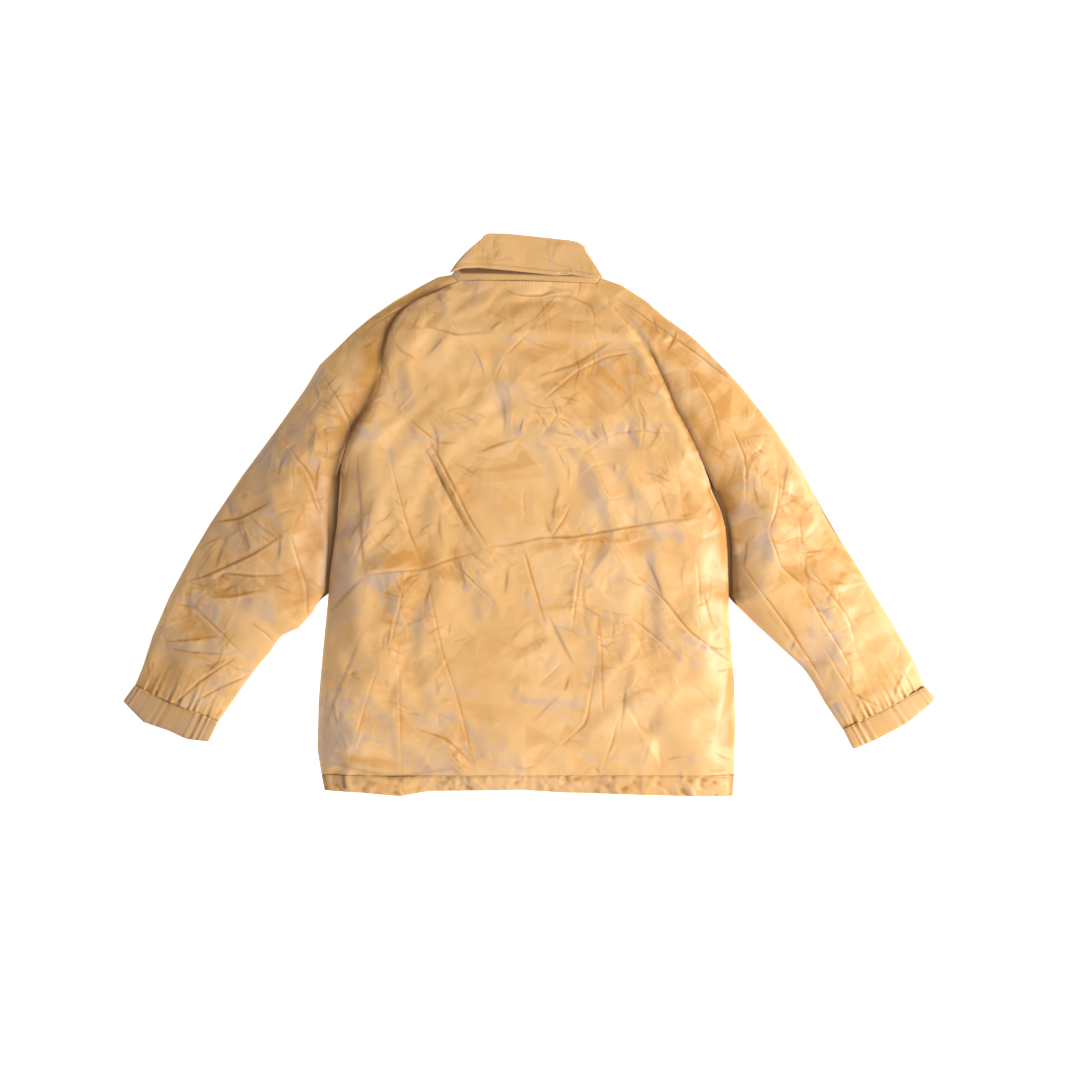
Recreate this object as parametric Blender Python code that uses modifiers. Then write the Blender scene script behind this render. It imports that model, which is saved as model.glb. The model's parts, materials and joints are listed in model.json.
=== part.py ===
"""A snap-front nylon jacket lying face down, built as the separate pieces that it is sewn from.

Units are metres and +Z is up. The jacket lies on its front on the plane z = 0, with its collar
towards +Y and the wearer's left side at -X. The origin is under the middle of its outline.
Every cloth piece is a grid laid between two edge curves and thickened with Solidify. The upper
layer (the back) is raised over the lower layer (the fronts) by a puffed height that falls
to the sewn edges, so the body, the sleeves, the cuffs and the neck stay open inside.
"""

import math

import bmesh
import bpy
from mathutils import Vector

# Cloth thicknesses. A sheet stands for the cloth with its turned edges.
SHELL = 0.0009
LINING = 0.0006
BAND_WALL = 0.0007
PLACKET = 0.0012
SEAM_GAP = 0.0005  # what each piece keeps back from a shared seam line
LAYER_GAP = 0.0005  # between cloth layers that lie on each other
LINING_DROP = 0.0028  # how far the linings hang clear of the puffed upper layer

# The lay, in plan. These are the right-hand edges (+X); the left-hand ones mirror them.
OUTER_EDGE = [
    (0.110, 0.352), (0.183, 0.312), (0.244, 0.265), (0.293, 0.219), (0.328, 0.173), (0.396, 0.080),
    (0.438, 0.010), (0.494, -0.083), (0.532, -0.152), (0.562, -0.222), (0.576, -0.250),
]
RAGLAN_SEAM = [
    (0.104, 0.345), (0.150, 0.270), (0.190, 0.200), (0.225, 0.140), (0.264, 0.070), (0.284, 0.000),
    (0.292, -0.120),
]
SIDE_EDGE = [(0.292, -0.120), (0.296, -0.175), (0.303, -0.240), (0.303, -0.361), (0.298, -0.4086)]
UNDERARM_EDGE = [
    (0.292, -0.120), (0.323, -0.152), (0.357, -0.175), (0.398, -0.222), (0.427, -0.268), (0.457, -0.311),
]
ARMPIT_Y = 0.030  # above this height the raglan seam lies flat, below it body and sleeve part
CUFF_END = [(0.589, -0.268), (0.468, -0.336)]  # outer and inner corner of the cuff's mouth
HEM_Y = -0.4086
HEM_BAND = 0.029
BAND_TOP_Y = HEM_Y + HEM_BAND
NECK_SIDE = (0.100, 0.352)  # where a front folds open, at the neck
HEM_SIDE = (0.272, HEM_Y)  # and at the hem
FRONT_EDGE_X = 0.020  # the front panels end here, under their plackets
NECK_FRONT_Y = 0.266
SLEEVE_FOLD_X = 0.310

# Trim inside the back of the neck, and how far the linings stay inside the shell.
BACK_LINING_INSET = 0.026
BACK_LINING_TOP_Y = 0.290
NECK_FACING_Y = (0.292, 0.336)
NECK_FACING_X = 0.060  # at its lower edge; it widens towards the neck
LABEL_Y = (0.297, 0.316)
LABEL_X = 0.026
LABEL_THICKNESS = 0.0005
SLEEVE_LINING_INSET = 0.014
HANGER_X = (0.027, 0.032)  # inner and outer half width of the loop
HANGER_Y = (0.316, 0.334)
HANGER_TAPE_WIDTH = 0.005
HANGER_TAPE = 0.0008
HANGER_BOTTOM = 0.0098

# Heights of the upper layer.
EDGE_TOP = 0.0042
BODY_CROWN = 0.0270
SLEEVE_CROWN = 0.0150
HEM_CROWN = 0.0200
NECK_CROWN = 0.0150
PUFF_WIDTH = 0.070

# Heights of the lower layer: the top face of each flat piece.
FRONT_TOP = 0.0029
SLEEVE_UNDER_TOP = 0.0021
FRONT_LINING_TOP = 0.0100
SLEEVE_LINING_FLOOR = 0.0027
FRONT_BAND_TOP = 0.0028
BACK_BAND_DEPTH = 0.0028

# Snap fasteners: two-part buttons down the front, each named by its number from the neck.
SNAP_COUNT = 5
SNAP_TOP_Y = 0.235
SNAP_PITCH = 0.140
LEFT_PLACKET_TOP = 0.0044
RIGHT_PLACKET_TOP = 0.0090
PLACKET_LAP = 0.016  # how far each placket reaches past the centre line
PLACKET_BACK = 0.045  # and how far it reaches over its own front
PLACKET_TOP_Y = 0.262
SNAP_HOLE_RADIUS = 0.0026
SNAP_SIDES = 20

# Slanted hand pockets: mouth line, and the four corners of the bag, on the +X side.
POCKET_MOUTH = [(0.170, -0.105), (0.206, -0.255)]
POCKET_MOUTH_WIDTH = 0.012
POCKET_BAG = [(0.186, -0.090), (0.224, -0.268), (0.066, -0.292), (0.066, -0.128)]
POCKET_WALL = 0.0006
POCKET_BOTTOM = 0.0032
POCKET_HEIGHT = 0.0059
WELT_WIDTH = 0.018
WELT_TOP = 0.0017
WELT_THICKNESS = 0.0014

# The collar. Its roll line and free edge lean a little, as it was laid down.
ROLL_LINE = [(-0.067, 0.409), (0.081, 0.394)]
COLLAR_FREE_EDGE = [(-0.114, 0.354), (0.108, 0.345)]
STAND_ROLL = [(-0.065, 0.402), (0.078, 0.387)]
STAND_SEAM = [(-0.104, 0.348), (0.104, 0.341)]
STAND_TOP = 0.0140
COLLAR_LAYERS = [  # name, finish, top face, thickness, how far inside the leaf's outline it stays
    ("undercollar", "shell", 0.0159, 0.0008, 0.0010),
    ("collar_interlining", "interlining", 0.0168, 0.0006, 0.0030),
    ("collar_leaf", "shell", 0.0179, 0.0008, 0.0),
]
FRONT_STAND = [(0.004, 0.268), (0.097, 0.345), (0.004, 0.304), (0.068, 0.396)]
COLLAR_POINT = [(0.052, 0.222), (0.096, 0.352), (0.006, 0.306), (0.068, 0.398)]
COLLAR_POINT_TOP = 0.0014

CUFF_HEIGHT = 0.0140
CUFF_CHANNEL = 0.0016
EYELET_X = 0.062
EYELET_BORE = 0.0020
EYELET_BARREL = 0.0027
EYELET_FLANGE = 0.0045
EYELET_Y = HEM_Y + 0.014

# Heights of the axes on which the pieces fold. The fronts turn on the plane that the jacket lies on.
COLLAR_AXIS_Z = 0.0146
SLEEVE_AXIS_Z = 0.0290

SIDES = (("left", -1.0), ("right", 1.0))

# Name: base colour, roughness, metallic.
FINISHES = {
    "shell": ((0.78, 0.54, 0.28), 0.45, 0.0),
    "lining": ((0.42, 0.27, 0.15), 0.60, 0.0),
    "interlining": ((0.80, 0.78, 0.72), 0.80, 0.0),
    "elastic": ((0.86, 0.84, 0.80), 0.70, 0.0),
    "label": ((0.20, 0.17, 0.15), 0.60, 0.0),
    "snap_metal": ((0.62, 0.47, 0.25), 0.30, 1.0),
}


# ---------------------------------------------------------------- plan curves

def along(curve, share):
    """The point at this share of a polyline's length."""
    points = [Vector(p) for p in curve]
    steps = [(b - a).length for a, b in zip(points, points[1:])]
    left = share * sum(steps)
    for start, end, step in zip(points, points[1:], steps):
        if left <= step:
            return start.lerp(end, left / step)
        left -= step
    return points[-1]


def x_at(curve, y):
    """x on a curve whose y falls from point to point; beyond its ends, the end's x."""
    if y >= curve[0][1]:
        return curve[0][0]
    for (x0, y0), (x1, y1) in zip(curve, curve[1:]):
        if y >= y1:
            return x0 + (x1 - x0) * (y0 - y) / (y0 - y1)
    return curve[-1][0]


def front_fold_x(y):
    """The line on which a front folds open, at this y."""
    share = (NECK_SIDE[1] - y) / (NECK_SIDE[1] - HEM_SIDE[1])
    return NECK_SIDE[0] + share * (HEM_SIDE[0] - NECK_SIDE[0])


def body_edge_x(y):
    return x_at(RAGLAN_SEAM + SIDE_EDGE[1:], y)


def fold_y(curve):
    """y where the curve crosses the sleeve's fold line."""
    for (x0, y0), (x1, y1) in zip(curve, curve[1:]):
        if x0 <= SLEEVE_FOLD_X <= x1:
            return y0 + (y1 - y0) * (SLEEVE_FOLD_X - x0) / (x1 - x0)
    raise ValueError("the curve doesn't cross the fold line")


def beyond_fold(curve):
    """The part of a sleeve edge outside the fold line."""
    start = (SLEEVE_FOLD_X, fold_y(curve))
    return [start] + [p for p in curve if p[0] > SLEEVE_FOLD_X]


def smooth(t):
    t = min(max(t, 0.0), 1.0)
    return t * t * (3 - 2 * t)


def distance_to(curve, point):
    found = []
    for start, end in zip(curve, curve[1:]):
        a, b = Vector(start), Vector(end)
        share = min(max((point - a).dot(b - a) / (b - a).length_squared, 0.0), 1.0)
        found.append((point - a.lerp(b, share)).length)
    return min(found)


SLIT = [(x_at(RAGLAN_SEAM, ARMPIT_Y), ARMPIT_Y), (0.284, 0.000), (0.292, -0.120)]
CLOSED_EDGES = [OUTER_EDGE, SLIT, SIDE_EDGE, UNDERARM_EDGE]


def crown(x, y):
    """Height of the upper layer away from the sewn edges: full over the body, low at its ends."""
    body = BODY_CROWN - (BODY_CROWN - SLEEVE_CROWN) * smooth((x - 0.30) / 0.22)
    hem = HEM_CROWN + (body - HEM_CROWN) * smooth((y - HEM_Y) / 0.080)
    neck = NECK_CROWN + (body - NECK_CROWN) * smooth((0.345 - y) / 0.090)
    return min(body, neck) if x > 0.31 else min(hem, neck)


def puff(x, y):
    """Height of the upper layer's top face."""
    x = abs(x)
    near = min(distance_to(edge, Vector((x, y))) for edge in CLOSED_EDGES)
    open_share = 1 - (1 - min(near / PUFF_WIDTH, 1.0)) ** 2
    return EDGE_TOP + (crown(x, y) - EDGE_TOP) * open_share


def hem_top(x, y):
    """The back's hem casing clears the front's where both come to the side."""
    return max(puff(x, y), FRONT_BAND_TOP + LAYER_GAP + BACK_BAND_DEPTH)


# ---------------------------------------------------------------- building

def clear_scene():
    for old in list(bpy.data.objects):
        bpy.data.objects.remove(old, do_unlink=True)


def make_collection(name):
    collection = bpy.data.collections.new(name)
    bpy.context.scene.collection.children.link(collection)
    return collection


def make_material(name):
    colour, roughness, metallic = FINISHES[name]
    material = bpy.data.materials.new(name)
    material.use_nodes = True
    shader = material.node_tree.nodes["Principled BSDF"]
    shader.inputs["Base Color"].default_value = (*colour, 1.0)
    shader.inputs["Roughness"].default_value = roughness
    shader.inputs["Metallic"].default_value = metallic
    return material


clear_scene()
jacket = make_collection("jacket")
cutters = make_collection("cutters")
materials = {name: make_material(name) for name in FINISHES}


def shade_round(mesh):
    """Smooth shading, with edges over 40 degrees left sharp."""
    mesh.shade_smooth()
    mesh.set_sharp_from_angle(angle=math.radians(40))


def add_object(name, bm, finish, collection=jacket):
    mesh = bpy.data.meshes.new(name)
    bm.to_mesh(mesh)
    bm.free()
    mesh.materials.append(materials[finish])
    obj = bpy.data.objects.new(name, mesh)
    collection.objects.link(obj)
    return obj


def thicken(obj, thickness):
    """Thickens a sheet on the side away from its normals."""
    modifier = obj.modifiers.new("cloth", "SOLIDIFY")
    modifier.thickness = thickness
    modifier.offset = -1.0
    return obj


def cut(obj, cutter):
    modifier = obj.modifiers.new(cutter.name, "BOOLEAN")
    modifier.operation = "DIFFERENCE"
    modifier.object = cutter
    return obj


def as_cutter(obj):
    obj.hide_render = True
    obj.display_type = "WIRE"
    return obj


def first_face_up(bm):
    """Turns the whole sheet over if its first face looks down."""
    bm.normal_update()
    bm.faces.ensure_lookup_table()
    if bm.faces[0].normal.z < 0:
        bmesh.ops.reverse_faces(bm, faces=bm.faces)


def cloth(name, side, inner, outer, cells, top, thickness, finish="shell", keep_back=SEAM_GAP):
    """A sheet laid between two edge curves. inner and outer give a plan point for a share of
    their length, cells is (across, along), and top gives the height of the upper face."""
    bm = bmesh.new()
    bmesh.ops.create_grid(bm, x_segments=cells[0], y_segments=cells[1], size=0.5)
    length = (inner(1.0) - inner(0.0)).length
    for vertex in bm.verts:
        v = keep_back / length + (vertex.co.y + 0.5) * (1 - 2 * keep_back / length)
        a, b = inner(v), outer(v)
        margin = keep_back / (b - a).length
        point = a.lerp(b, margin + (vertex.co.x + 0.5) * (1 - 2 * margin))
        x = side * point.x
        vertex.co = (x, point.y, top(x, point.y))
    first_face_up(bm)
    sheet = add_object(name, bm, finish)
    shade_round(sheet.data)
    return thicken(sheet, thickness)


def flat(height):
    return lambda x, y: height


def under_puff(depth):
    return lambda x, y: puff(x, y) - depth


def by_y(x_of, bottom, top):
    """An edge that runs up from bottom to top, at the x that x_of gives."""
    return lambda v: Vector((x_of(bottom + v * (top - bottom)), bottom + v * (top - bottom)))


def upright(x, bottom, top):
    """A straight edge parallel to the centre line."""
    return by_y(lambda y: x, bottom, top)


def polyline(points):
    return lambda v: along(points, v)


def prism(name, corners, bottom, height, finish, collection=jacket):
    """A flat outline with straight sides, as a filled curve of that thickness."""
    curve = bpy.data.curves.new(name, "CURVE")
    curve.dimensions = "2D"
    curve.fill_mode = "BOTH"
    curve.extrude = height / 2
    spline = curve.splines.new("POLY")
    spline.points.add(len(corners) - 1)
    for point, corner in zip(spline.points, corners):
        point.co = (corner[0], corner[1], 0.0, 1.0)
    spline.use_cyclic_u = True
    guide = bpy.data.objects.new(name + "_outline", curve)
    guide.location.z = bottom + height / 2
    collection.objects.link(guide)
    bpy.context.view_layer.update()
    evaluated = guide.evaluated_get(bpy.context.evaluated_depsgraph_get())
    mesh = bpy.data.meshes.new_from_object(evaluated)
    bm = bmesh.new()
    bm.from_mesh(mesh)
    bmesh.ops.remove_doubles(bm, verts=bm.verts, dist=1e-6)
    bmesh.ops.recalc_face_normals(bm, faces=bm.faces)
    place = guide.matrix_world.copy()
    bpy.data.objects.remove(guide)
    obj = add_object(name, bm, finish, collection)
    obj.data.materials.clear()
    obj.data.materials.append(materials[finish])
    obj.matrix_world = place
    return obj


def disc_cutter(name, x, y, radius, low, high):
    bpy.ops.mesh.primitive_cylinder_add(
        vertices=SNAP_SIDES, radius=radius, depth=high - low, location=(x, y, (low + high) / 2)
    )
    obj = bpy.context.active_object
    obj.name = name
    for owner in list(obj.users_collection):
        owner.objects.unlink(obj)
    cutters.objects.link(obj)
    return as_cutter(obj)


def turned(name, profile, x, y):
    """A round metal piece: a profile of (radius, height) points, from the top down, turned about Z."""
    bm = bmesh.new()
    points = [bm.verts.new((radius, 0.0, height)) for radius, height in profile]
    for a, b in zip(points, points[1:]):
        bm.edges.new((a, b))
    obj = add_object(name, bm, "snap_metal")
    obj.location = (x, y, 0.0)
    screw = obj.modifiers.new("turn", "SCREW")
    screw.axis = "Z"
    screw.steps = SNAP_SIDES
    screw.render_steps = SNAP_SIDES
    screw.use_smooth_shade = True
    screw.use_merge_vertices = True
    screw.merge_threshold = 1e-5


def folded_band(name, start, end, top, depth, cells):
    """A strip folded in two along the hem line and open at its seam: a casing for a draw cord."""
    radius = 0.0010
    profile = [(HEM_BAND - SEAM_GAP, 0.0), (radius, 0.0), (0.0, -0.3 * depth), (0.0, -0.7 * depth),
               (radius, -depth), (HEM_BAND - SEAM_GAP, -depth)]
    bm = bmesh.new()
    bmesh.ops.create_grid(bm, x_segments=cells, y_segments=len(profile) - 1, size=0.5)
    for vertex in bm.verts:
        up, drop = profile[round((0.5 - vertex.co.y) * (len(profile) - 1))]
        x = start + (vertex.co.x + 0.5) * (end - start)
        vertex.co = (x, HEM_Y + up, top(x, HEM_Y + up) + drop)
    bm.normal_update()
    bm.faces.ensure_lookup_table()
    highest = max(bm.faces, key=lambda face: face.normal.z * face.normal.z * face.calc_center_median().z)
    if highest.normal.z < 0:
        bmesh.ops.reverse_faces(bm, faces=bm.faces)
    return thicken(add_object(name, bm, "shell"), BAND_WALL)


# ---------------------------------------------------------------- the back

def both_edges(half_width, bottom, top):
    """The left and right edges of a piece that lies across the centre line."""
    return [by_y(lambda y, sign=sign: sign * half_width(y), bottom, top) for sign in (-1.0, 1.0)]


def build_back():
    between = both_edges(body_edge_x, BAND_TOP_Y, 0.342)
    cloth("back_panel", 1.0, *between, (16, 18), puff, SHELL)

    between = both_edges(lambda y: body_edge_x(y) - BACK_LINING_INSET, BAND_TOP_Y + 0.003, BACK_LINING_TOP_Y)
    depth = SHELL + LINING_DROP
    cloth("back_lining", 1.0, *between, (14, 16), under_puff(depth), LINING, "lining")

    between = both_edges(lambda y: NECK_FACING_X + 0.35 * (y - NECK_FACING_Y[0]), *NECK_FACING_Y)
    cloth("neck_facing", 1.0, *between, (6, 3), under_puff(depth), LINING)

    between = both_edges(lambda y: LABEL_X, *LABEL_Y)
    depth += LINING + LAYER_GAP
    cloth("neck_label", 1.0, *between, (3, 2), under_puff(depth), LABEL_THICKNESS, "label")

    cloth("collar_stand", 1.0, polyline(STAND_SEAM), polyline(STAND_ROLL), (2, 6), flat(STAND_TOP), 0.0010)

    half = x_at(SIDE_EDGE, HEM_Y) - 0.0005
    folded_band("back_hem_casing", -half, half, hem_top, BACK_BAND_DEPTH, 16)


def build_hanger_loop():
    """A tape sewn into the neck seam at both ends: a flat U that a hook goes through."""
    inner_x, outer_x = HANGER_X
    bottom, top = HANGER_Y
    inside = bottom + HANGER_TAPE_WIDTH
    corners = [(-outer_x, top), (-outer_x, bottom), (outer_x, bottom), (outer_x, top), (inner_x, top),
               (inner_x, inside), (-inner_x, inside), (-inner_x, top)]
    prism("hanger_loop", corners, HANGER_BOTTOM, HANGER_TAPE, "shell")


def build_collar():
    for name, finish, top, thickness, inset in COLLAR_LAYERS:
        cloth(name, 1.0, polyline(COLLAR_FREE_EDGE), polyline(ROLL_LINE), (3, 6), flat(top), thickness,
              finish, SEAM_GAP + inset)


# ---------------------------------------------------------------- shoulders and sleeves

def shoulder_outer_x(y):
    """The shoulder piece ends at the outline, or at the sleeve's fold line where that comes first."""
    return min(x_at(OUTER_EDGE, y), SLEEVE_FOLD_X)


def sleeve_curves():
    outer = beyond_fold(OUTER_EDGE)
    inner = beyond_fold(UNDERARM_EDGE)
    return outer, inner


def ring(name, around, section, place, finish):
    """A closed band: a torus whose rings are put where place(turn, point of the section) says."""
    bpy.ops.mesh.primitive_torus_add(major_segments=around, minor_segments=len(section))
    obj = bpy.context.active_object
    obj.name = name
    for owner in list(obj.users_collection):
        owner.objects.unlink(obj)
    jacket.objects.link(obj)
    for index, vertex in enumerate(obj.data.vertices):
        turn, step = divmod(index, len(section))
        vertex.co = place(turn / around, section[step])
    bm = bmesh.new()
    bm.from_mesh(obj.data)
    bmesh.ops.recalc_face_normals(bm, faces=bm.faces)
    bm.to_mesh(obj.data)
    bm.free()
    shade_round(obj.data)
    obj.data.materials.clear()
    obj.data.materials.append(materials[finish])
    return obj


def flattened(turn):
    """A flattened loop: (across, from -1 to 1; height, from 0 to 1) for a share of a turn."""
    angle = 2 * math.pi * turn
    across, height = math.cos(angle), math.sin(angle)
    return math.copysign(abs(across) ** 0.6, across), 0.5 + 0.5 * math.copysign(abs(height) ** 0.6, height)


def build_cuff(label, side):
    """The folded casing round the wrist, open on its sleeve side, and the elastic inside it."""
    seam_outer, seam_inner = Vector(OUTER_EDGE[-1]), Vector(UNDERARM_EDGE[-1])
    end_outer, end_inner = Vector(CUFF_END[0]), Vector(CUFF_END[1])
    length = (end_outer - seam_outer).length

    def place(turn, point):
        lengthwise, inward = point  # metres from the seam towards the mouth, and in from the outside
        across, height = flattened(turn)
        share = lengthwise / length
        outer = seam_outer.lerp(end_outer, share)
        inner = seam_inner.lerp(end_inner, share)
        middle, half = (outer + inner) / 2, (outer - inner) / 2
        reach = 1 - inward / half.length
        plan = middle + half * across * reach
        z = inward + height * (CUFF_HEIGHT - 2 * inward)
        return Vector((side * plan.x, plan.y, z))

    wall, channel = BAND_WALL, CUFF_CHANNEL
    fold = wall + channel + wall
    section = [(SEAM_GAP, 0.0), (length - 0.001, 0.0), (length, 0.001), (length, fold - 0.001),
               (length - 0.001, fold), (SEAM_GAP, fold), (SEAM_GAP, fold - wall),
               (length - 0.0025, fold - wall), (length - 0.0025, wall), (SEAM_GAP, wall)]
    ring(f"{label}_cuff_casing", 20, section, place, "shell")
    low, high = wall + 0.0003, wall + channel - 0.0003
    band = [(0.003, low), (length - 0.004, low), (length - 0.004, high), (0.003, high)]
    ring(f"{label}_cuff_elastic", 20, band, place, "elastic")


def build_sleeve_lining(label, side):
    """A flattened tube inside the sleeve, open at the shoulder and at the cuff."""
    outer, inner = sleeve_curves()
    around, rings = 16, 7
    bpy.ops.mesh.primitive_cylinder_add(vertices=around, end_fill_type="NOTHING")
    obj = bpy.context.active_object
    name = f"{label}_sleeve_lining"
    bm = bmesh.new()
    bm.from_mesh(obj.data)
    bpy.data.objects.remove(obj)
    lengthwise = [edge for edge in bm.edges if abs(edge.verts[0].co.z - edge.verts[1].co.z) > 1]
    bmesh.ops.subdivide_edges(bm, edges=lengthwise, cuts=rings - 2)
    for vertex in bm.verts:
        share = 0.03 + 0.94 * (vertex.co.z + 1) / 2
        across, height = flattened((math.atan2(vertex.co.y, vertex.co.x) / (2 * math.pi)) % 1.0)
        a, b = along(outer, share), along(inner, share)
        middle, half = (a + b) / 2, (a - b) / 2
        plan = middle + half * across * (1 - SLEEVE_LINING_INSET / half.length)
        roof = puff(plan.x, plan.y) - SHELL - LINING_DROP
        z = SLEEVE_LINING_FLOOR + height * (roof - SLEEVE_LINING_FLOOR)
        vertex.co = (side * plan.x, plan.y, z)
    bmesh.ops.recalc_face_normals(bm, faces=bm.faces)
    top = max(bm.faces, key=lambda face: face.calc_center_median().z)
    if top.normal.z < 0:
        bmesh.ops.reverse_faces(bm, faces=bm.faces)
    lining = add_object(name, bm, "lining")
    shade_round(lining.data)
    thicken(lining, LINING)


def build_arm(label, side):
    inner = by_y(body_edge_x, fold_y(UNDERARM_EDGE) + 0.014, 0.345)
    outer = by_y(shoulder_outer_x, fold_y(UNDERARM_EDGE) + 0.014, 0.345)
    cloth(f"{label}_shoulder_back", side, inner, outer, (4, 14), puff, SHELL)
    cloth(f"{label}_shoulder_front", side, inner, outer, (2, 14), flat(FRONT_TOP), SHELL)

    sleeve_outer, sleeve_inner = (polyline(curve) for curve in sleeve_curves())
    cloth(f"{label}_sleeve_back", side, sleeve_inner, sleeve_outer, (8, 10), puff, SHELL)
    cloth(f"{label}_sleeve_front", side, sleeve_inner, sleeve_outer, (2, 10),
          flat(SLEEVE_UNDER_TOP), SHELL)
    build_sleeve_lining(label, side)
    build_cuff(label, side)


# ---------------------------------------------------------------- the fronts

def pocket_slot(label, side):
    """The slanted mouth, cut through the front panel and the bag's outer sheet."""
    (x0, y0), (x1, y1) = POCKET_MOUTH
    half = POCKET_MOUTH_WIDTH / 2
    corners = [(side * (x0 - half), y0), (side * (x0 + half), y0), (side * (x1 + half), y1),
               (side * (x1 - half), y1)]
    return as_cutter(prism(f"{label}_pocket_slot", corners, 0.0, 0.006, "shell", cutters))


def build_pocket(label, side, slot):
    bag = prism(f"{label}_pocket_bag", [(side * x, y) for x, y in POCKET_BAG], POCKET_BOTTOM,
                POCKET_HEIGHT, "lining")
    middle = sum((Vector(corner) for corner in POCKET_BAG), Vector((0.0, 0.0))) / len(POCKET_BAG)
    hollow = []
    for corner in POCKET_BAG:
        inward = (middle - Vector(corner)).normalized() * 3 * POCKET_WALL
        hollow.append((side * (corner[0] + inward.x), corner[1] + inward.y))
    inside = as_cutter(prism(f"{label}_pocket_hollow", hollow, POCKET_BOTTOM + POCKET_WALL,
                             POCKET_HEIGHT - 2 * POCKET_WALL, "lining", cutters))
    cut(bag, inside)
    cut(bag, slot)

    (x0, y0), (x1, y1) = POCKET_MOUTH
    near = POCKET_MOUTH_WIDTH / 2 + 0.0005
    far = near + WELT_WIDTH
    corners = [(side * (x0 - near), y0), (side * (x0 - far), y0), (side * (x1 - far), y1),
               (side * (x1 - near), y1)]
    welt = prism(f"{label}_pocket_welt", corners, WELT_TOP - WELT_THICKNESS, WELT_THICKNESS, "shell")
    edge = welt.modifiers.new("turned edge", "BEVEL")
    edge.width = 0.0003
    edge.segments = 1


def build_eyelet(label, side):
    """A metal ring where the hem's draw cord would come out, set in the casing's inner wall."""
    top = FRONT_BAND_TOP
    bottom = top - BAND_WALL
    profile = [(EYELET_BORE, top + 0.0010), (EYELET_FLANGE, top + 0.0010), (EYELET_FLANGE, top + 0.0003),
               (EYELET_BARREL, top + 0.0003), (EYELET_BARREL, bottom), (EYELET_BORE, bottom),
               (EYELET_BORE, top + 0.0010)]
    turned(f"{label}_hem_eyelet", profile, side * EYELET_X, EYELET_Y)


def build_front(label, side):
    fold = by_y(front_fold_x, BAND_TOP_Y, 0.341)
    slot = pocket_slot(label, side)
    panel = cloth(f"{label}_front_panel", side, upright(FRONT_EDGE_X, BAND_TOP_Y, NECK_FRONT_Y), fold,
                  (2, 3), flat(FRONT_TOP), SHELL)
    cut(panel, slot)
    lining_fold = by_y(lambda y: front_fold_x(y) - 0.004, BAND_TOP_Y + 0.003, 0.270)
    cloth(f"{label}_front_lining", side, upright(0.052, BAND_TOP_Y + 0.003, 0.240), lining_fold, (2, 3),
          flat(FRONT_LINING_TOP), LINING, "lining")
    cloth(f"{label}_front_side", side, by_y(front_fold_x, BAND_TOP_Y, 0.300),
          by_y(body_edge_x, BAND_TOP_Y, 0.300), (1, 12), flat(FRONT_TOP), SHELL)
    build_pocket(label, side, slot)

    cloth(f"{label}_front_stand", side, polyline(FRONT_STAND[:2]), polyline(FRONT_STAND[2:]), (2, 4),
          flat(FRONT_TOP + 0.0001), 0.0010)
    cloth(f"{label}_collar_point", side, polyline(COLLAR_POINT[:2]), polyline(COLLAR_POINT[2:]), (3, 4),
          flat(COLLAR_POINT_TOP), COLLAR_POINT_TOP)

    ends = sorted((side * FRONT_EDGE_X, side * (front_fold_x(BAND_TOP_Y) - 0.0010)))
    casing = folded_band(f"{label}_front_hem_casing", *ends, flat(FRONT_BAND_TOP), FRONT_BAND_TOP, 4)
    hole = disc_cutter(f"{label}_eyelet_hole", side * EYELET_X, EYELET_Y, EYELET_BARREL + 0.0003,
                       FRONT_BAND_TOP - 0.0011, FRONT_BAND_TOP + 0.002)
    cut(casing, hole)
    build_eyelet(label, side)
    ends = sorted((side * (HEM_SIDE[0] + 0.0010), side * (x_at(SIDE_EDGE, HEM_Y) - 0.0005)))
    folded_band(f"{label}_side_hem_casing", *ends, flat(FRONT_BAND_TOP), FRONT_BAND_TOP, 2)


def right_placket_top(x, y):
    """The right placket climbs from its front panel to lie over the left one."""
    climb = smooth((0.038 - x) / 0.014)
    return LEFT_PLACKET_TOP + (RIGHT_PLACKET_TOP - LEFT_PLACKET_TOP) * climb


def build_plackets():
    bottom = HEM_Y + 0.002
    left = cloth("left_placket", 1.0, upright(-PLACKET_BACK, bottom, PLACKET_TOP_Y),
                 upright(PLACKET_LAP, bottom, PLACKET_TOP_Y), (2, 3), flat(LEFT_PLACKET_TOP), PLACKET)
    right = cloth("right_placket", 1.0, upright(-PLACKET_LAP, bottom, PLACKET_TOP_Y),
                  upright(PLACKET_BACK, bottom, PLACKET_TOP_Y), (12, 3), right_placket_top, PLACKET)
    for number in range(1, SNAP_COUNT + 1):
        y = SNAP_TOP_Y - (number - 1) * SNAP_PITCH
        hole = disc_cutter(f"snap_hole_{number}", 0.0, y, SNAP_HOLE_RADIUS, 0.002, 0.012)
        cut(left, hole)
        cut(right, hole)
        build_snap(number, y)


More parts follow.
